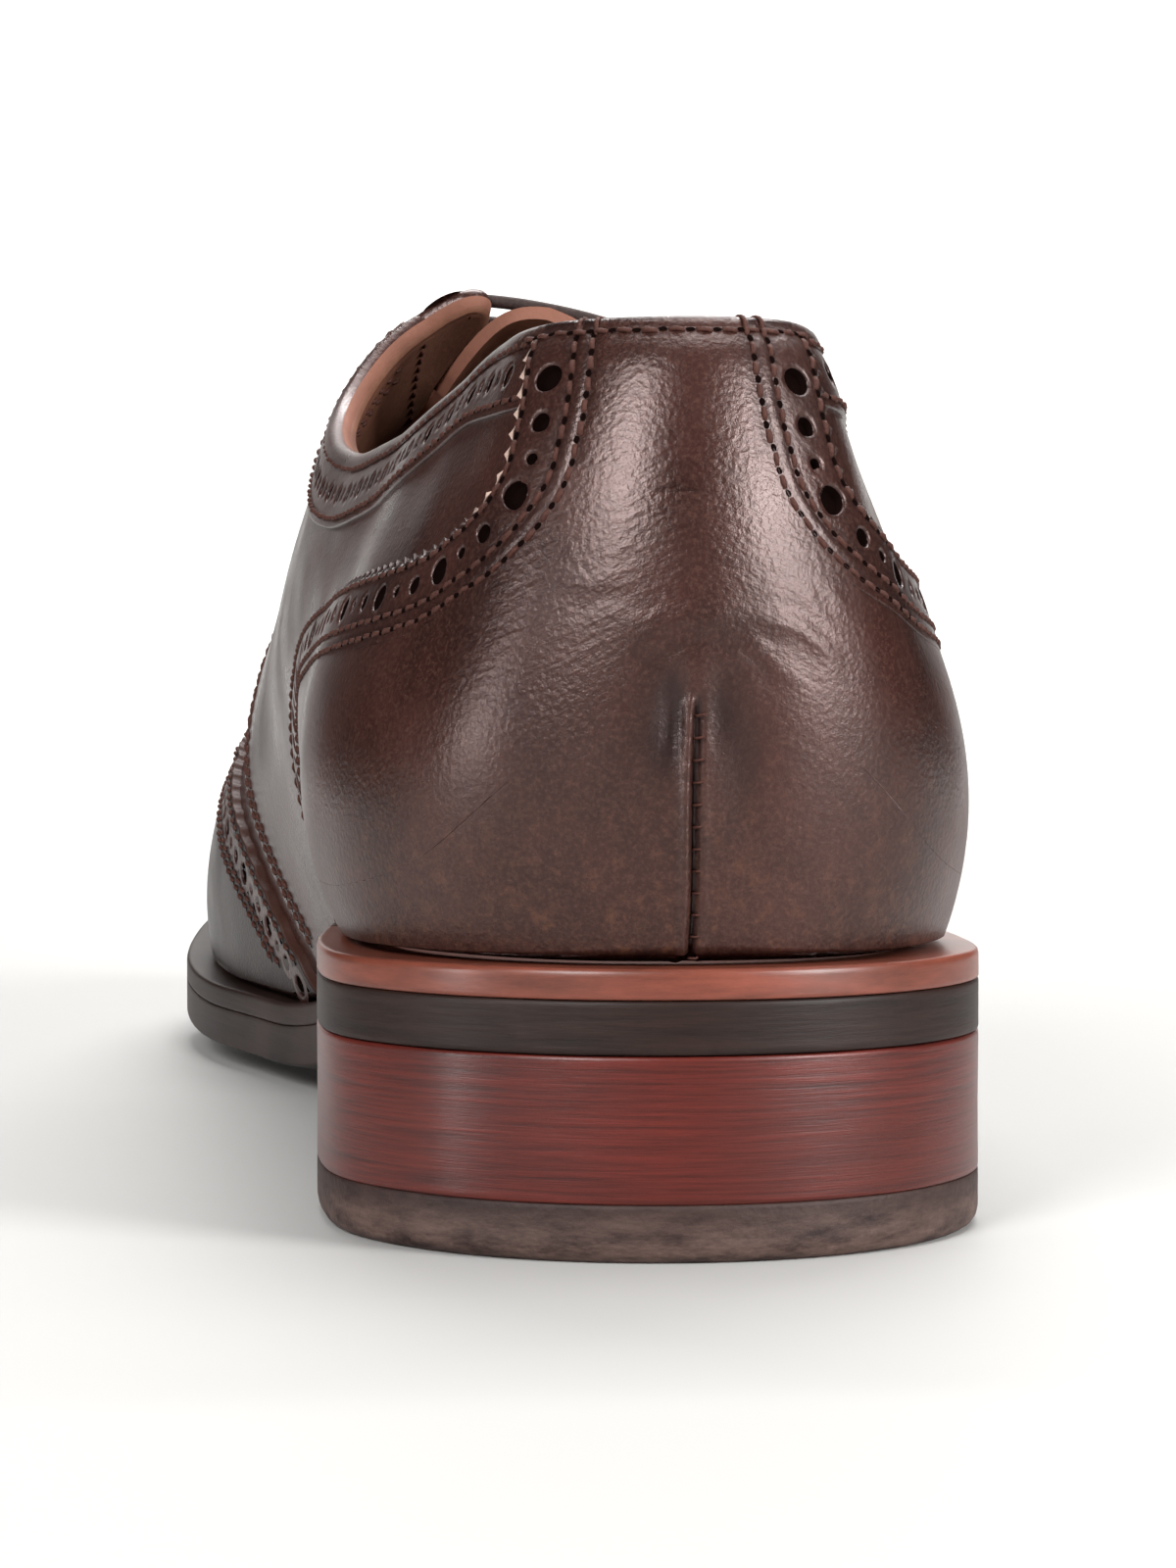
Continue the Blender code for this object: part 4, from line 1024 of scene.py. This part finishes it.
# tongue: a curved plate under the throat with a raw edge
tongue = {"start": 0.452, "end": 0.605, "half": 21.0, "drop": 2.9, "ease": 4.2, "thick": 1.8, "corner": 0.024}
across = tongue["half"] * np.sin(np.linspace(-np.pi / 2, np.pi / 2, 41))
ribsT = tongue["start"] + (tongue["end"] - tongue["start"]) * (1 - np.cos(np.linspace(0, np.pi, 48))) / 2
aside = np.abs(across[:, None] / tongue["half"])
corner = tongue["corner"] * aside ** 3 * (1 - np.linspace(0, 1, 48)) ** 3  # rounded top corners
ta = np.where(across[:, None] < 0, -1, 1) * (ribsT[None] + corner)
tt = climbToRidge(ta, np.abs(across)[:, None] + 0 * ta)
drop = tongue["drop"] + tongue["ease"] * (1 - ease(np.abs(ta), shoe["throat"][0], shoe["throat"][1] - 0.05))
top = skin(ta, tt, -drop)
bottom = skin(ta, tt, -drop - tongue["thick"])
rowsT, colsT = ta.shape
loop = rimLoop(rowsT, colsT)
count, size = rowsT * colsT, len(loop)
ring, after = np.arange(size), np.roll(np.arange(size), -1)
walls = np.stack([count + loop[ring], count + loop[after], loop[after], loop[ring]], -1)
quads = gridFaces(rowsT, colsT)
facing = np.cross(top[20, 25] - top[20, 24], top[21, 24] - top[20, 24])
if facing @ skinNormal(ta[20, 24], tt[20, 24]) < 0:
    quads, walls = quads[:, ::-1], walls[:, ::-1]
makePiece("tonguePlate", np.concatenate([top.reshape(-1, 3), bottom.reshape(-1, 3)]),
          [(quads, 0), (quads[:, ::-1] + count, 1), (walls, 2)], [calf, lining, rawEdge], "tongue", sharp=60)

# lace: straight bars, each diving into its two eyelets
lace = {"radius": 0.85, "sides": 12, "points": 46, "arch": 1.4, "dive": 2.6, "sunk": 1.9}
bars, f = [], np.linspace(0, 1, lace["points"])[:, None]
hump = lace["arch"] * (1 - np.abs(2 * f - 1) ** 2.2)
hump = hump + lace["dive"] * np.minimum(1, np.minimum(f, 1 - f) * 14) - lace["sunk"]
for left, right in zip(eyeletHoles[-1][0], eyeletHoles[1][0]):
    upwards = unit(np.cross(right - left, np.array([0.0, 1.0, -0.35])))
    upwards = upwards * np.sign(upwards[2])
    bars.append(left + (right - left) * f + upwards * hump)
bars = np.array(bars)
tangent = unit(np.gradient(bars, axis=1))
sideways = unit(np.cross(tangent, np.array([0.0, 0.3, 1.0])))
over = np.cross(sideways, tangent)
turn = np.linspace(0, 2 * np.pi, lace["sides"], endpoint=False)
tube = (bars[:, :, None] + lace["radius"] * (np.cos(turn)[:, None] * sideways[:, :, None]
                                             + np.sin(turn)[:, None] * over[:, :, None]))
start = (np.arange(eyelets["rows"]) * lace["points"] * lace["sides"])[:, None, None]
tubeQuads = (gridFaces(lace["points"], lace["sides"], True) + start).reshape(-1, 4)
ends = np.stack([np.arange(lace["sides"])[::-1], (lace["points"] - 1) * lace["sides"] + np.arange(lace["sides"])])
makePiece("laceBars", tube, [(tubeQuads, 0), ((ends + start).reshape(-1, lace["sides"]), 0)], [laceCotton], "lace")

# heel and sole: outlines of the sole's own edge, with small rounded corners between the layers
heel = {"breast": 70.0, "hollow": 3.0, "points": 240}
breastK = np.arccos(1 - 2 * heel["breast"] / shoe["length"]) / np.pi
hx, hy = soleEdge(np.linspace(-breastK, breastK, heel["points"]))
across = np.linspace(1, -1, 42)[1:-1]
bx = (hx[-1] + hx[0]) / 2 + across * (hx[-1] - hx[0]) / 2
heelOutline = np.column_stack([np.append(hx, bx), np.append(hy, heel["breast"] - heel["hollow"] * (1 - across ** 2))])


def stackedBlock(name, outline, profile, finish, node):
    # outline moved inwards by each profile step at its height, closed by flat faces below and above
    ahead = np.roll(outline, -1, 0) - np.roll(outline, 1, 0)
    inward = unit(np.column_stack([-ahead[:, 1], ahead[:, 0]]))
    rings = [np.column_stack([outline + inward * inset, np.full(len(outline), z)]) for inset, z in profile]
    count = len(outline)
    ring = np.arange(count)
    caps = [ring[::-1].tolist(), (ring + (len(profile) - 1) * count).tolist()]
    walls = gridFaces(len(profile), count, True)
    return makePiece(name, np.concatenate(rings), [(walls, 0), (caps, 0)], [finish], node, sharp=50)


liftProfile = ((1.6, 0.0), (1.1, 0.06), (0.55, 0.4), (0.16, 1.0), (0.02, 1.7), (0.0, 2.2), (0.0, 5.3), (0.02, 5.62),
               (0.16, 5.76))
stackProfile = ((0.16, 5.78), (0.03, 5.92), (0.0, 6.3), (0.05, 12.8), (0.0, 19.7), (0.03, 20.02), (0.16, 20.16))
stackedBlock("topLiftRubber", heelOutline, liftProfile, liftRubber, "top_lift")
stackedBlock("heelStackLeather", heelOutline, stackProfile, stackRed, "heel_stack")

soleA = np.linspace(-1, 1, 361)[:-1]
soleProfile = ((0.0, 0.0), (0.42, 0.0), (0.75, 0.0), (0.93, 0.0), (0.985, 0.02), (0.998, 0.12), (1.0, 0.35),
               (1.0, 0.7), (1.0, 4.7), (1.0, 5.1), (0.998, 5.32), (0.99, 5.4), (0.9, 5.4), (0.42, 5.4), (0.0, 5.4))
rings = []
for r, up in soleProfile:
    x, y = solePoint(soleA, r)
    rings.append(np.stack([x, y, soleHeight(y, r) + up], -1))
quads = gridFaces(len(soleProfile), len(soleA), True)
makePiece("soleLeather", np.stack(rings), [(quads, 0)], [soleEdgeInk], "outsole", sharp=60)


def sidePath(start, end, count):
    half = np.linspace(start, end, count)
    return np.concatenate([half, -half[::-1][1:]])


def weltStrip(name, a, depth, finish, node):
    # level-topped strip on the sole's edge, its outer corner rounded, closed underneath and at its ends
    reach = soleReach(a)
    steps = ((depth, 0.45), (0.4, 0.04), (0.12, 0.06), (0.0, 0.2), (0.0, 0.5), (0.0, 2.25), (0.03, 2.6), (0.13, 2.9),
             (0.34, 3.07), (0.7, 3.1), (1.2, 3.1), (depth, 3.1))
    rings = []
    for inset, up in steps:
        r = 1 - inset / reach
        x, y = solePoint(a, r)
        level = soleHeight(y, r) if up < 1 else soleBottom(y) + edgeLift(y)
        rings.append(np.stack([x, y, level + shoe["sole"] + up], -1))
    strip = np.stack(rings, 1)
    quads = gridFaces(len(a), len(steps), True)
    caps = [list(range(len(steps))), list(range((len(a) - 1) * len(steps), len(a) * len(steps)))[::-1]]
    return makePiece(name, strip, [(quads, 0), (caps, 0)], [finish], node, sharp=55)


rand = {"end": 0.305, "depth": 11.0}
weltStrip("weltLeather", sidePath(rand["end"] + 0.002, 1.0, 260), rand["depth"], soleEdgeInk, "welt")
weltStrip("heelRandLeather", np.linspace(-rand["end"], rand["end"], 240), rand["depth"], randTan, "heel_rand")

insoleA = np.linspace(-1, 1, 241)[:-1]
inset = 1 - 11.9 / soleReach(insoleA)
rings = []
for share, up in ((0.0, 0.6), (0.6, 0.6), (1.0, 0.6), (1.0, 2.6), (0.985, 3.15), (0.9, 3.2), (0.6, 3.2), (0.0, 3.2)):
    x, y = solePoint(insoleA, inset * share)
    rings.append(np.stack([x, y, soleHeight(y, inset * share) + shoe["sole"] + up], -1))
makePiece("insoleLeather", np.stack(rings), [(gridFaces(8, len(insoleA), True), 0)], [lining], "insole", sharp=60)

threadPiece("sewingThread", sewing)
needlePiece("needleHoles", darkHole)

# floor sweep, lights and camera
stage = {"floor": "#a5a4a2", "left": -0.75, "right": 1.6, "back": 2.2, "bend": 0.9, "surround": 0.75, "dim": 0.12}
x = np.linspace(stage["left"], stage["right"], 3)
turn = np.linspace(0, np.pi / 2, 24)
sweepY = np.concatenate([[-9.0], stage["back"] + stage["bend"] * np.sin(turn), [stage["back"] + stage["bend"]]])
sweepZ = np.concatenate([[0.0], stage["bend"] * (1 - np.cos(turn)), [4.0]])
sweep = np.stack([np.broadcast_to(x[None], (len(sweepY), 3)), np.broadcast_to(sweepY[:, None], (len(sweepY), 3)),
                  np.broadcast_to(sweepZ[:, None], (len(sweepY), 3))], -1)
mesh = bpy.data.meshes.new("floorSweep")
mesh.from_pydata(sweep.reshape(-1, 3).tolist(), [], gridFaces(len(sweepY), 3).tolist())
mesh.polygons.foreach_set("use_smooth", np.ones(len(mesh.polygons), bool))
# plain pale paper
floorPaper, _, paperShader, _ = newFinish("pale paper", 0.6, Specular_IOR_Level=0.2)
paperShader.inputs["Base Color"].default_value = hexColour(stage["floor"])
mesh.materials.append(floorPaper)
floor = bpy.data.objects.new("floorSweep", mesh)
bpy.context.scene.collection.objects.link(floor)

world = bpy.data.worlds.new("studio")
world.use_nodes = True
sky = addNode(world.node_tree, "TexCoord").outputs["Generated"]
towards = addNode(world.node_tree, "SeparateXYZ", {"Vector": sky}).outputs
ahead = addNode(world.node_tree, "MapRange", {"Value": towards["Y"], "From Min": -0.5, "From Max": 0.9})
raised = addNode(world.node_tree, "Math", {0: towards["Z"], 1: 2.5, 2: towards["X"]}, operation="MULTIPLY_ADD")
aside = addNode(world.node_tree, "MapRange", {"Value": raised.outputs[0], "From Min": -0.3, "From Max": 0.1})
both = addNode(world.node_tree, "Math", {0: ahead.outputs[0], 1: aside.outputs[0]}, operation="MULTIPLY")
white = addNode(world.node_tree, "MapRange", {"Value": both.outputs[0], "To Min": stage["dim"],
                                              "To Max": stage["surround"]})
world.node_tree.links.new(white.outputs[0], world.node_tree.nodes["Background"].inputs["Strength"])
bpy.context.scene.world = world
bpy.context.scene.view_settings.view_transform = "Standard"

lights = {
    "leftBox": {"at": (-0.64, -1.02, 0.74), "size": (0.4, 0.62), "power": 20.5, "aim": (0, -0.12, 0.07)},
    "rightBox": {"at": (0.90, -0.82, 0.50), "size": (0.4, 0.62), "power": 23.5, "aim": (0, -0.12, 0.07)},
    "leftStrip": {"at": (-1.1, -0.42, 0.18), "size": (0.08, 0.3), "power": 4.0, "aim": (0, -0.12, 0.02)},
    "topBox": {"at": (0.25, 0.25, 1.6), "size": (1.1, 1.1), "power": 24, "aim": (0, 0, 0)},
    "sweepWash": {"at": (0.5, 1.5, 2.1), "size": (2.0, 0.6), "power": 200, "aim": (0.5, 2.9, 0.2)},
}
for name, light in lights.items():
    lamp = bpy.data.lights.new(name, "AREA")
    lamp.shape, lamp.size, lamp.size_y, lamp.energy = "RECTANGLE", *light["size"], light["power"]
    made = bpy.data.objects.new(name, lamp)
    made.location = light["at"]
    made.rotation_mode = "QUATERNION"
    made.rotation_quaternion = (Vector(light["aim"]) - made.location).to_track_quat("-Z", "Y")
    bpy.context.scene.collection.objects.link(made)

camera = {"at": (-51.7, -370.0, 58.8), "towards": (0.1109, 1.0, -0.0329), "lens": 89.0}
lens = bpy.data.cameras.new("behindTheHeel")
lens.lens, lens.sensor_width, lens.clip_start, lens.clip_end = camera["lens"], 36.0, 0.02, 30.0
eye = bpy.data.objects.new("behindTheHeel", lens)
eye.location = [(v - c) * 0.001 for v, c in zip(camera["at"], (shoe["centreX"], shoe["centreY"], 0))]
eye.rotation_mode = "QUATERNION"
eye.rotation_quaternion = Vector(camera["towards"]).to_track_quat("-Z", "Y")
bpy.context.scene.collection.objects.link(eye)
bpy.context.scene.camera = eye
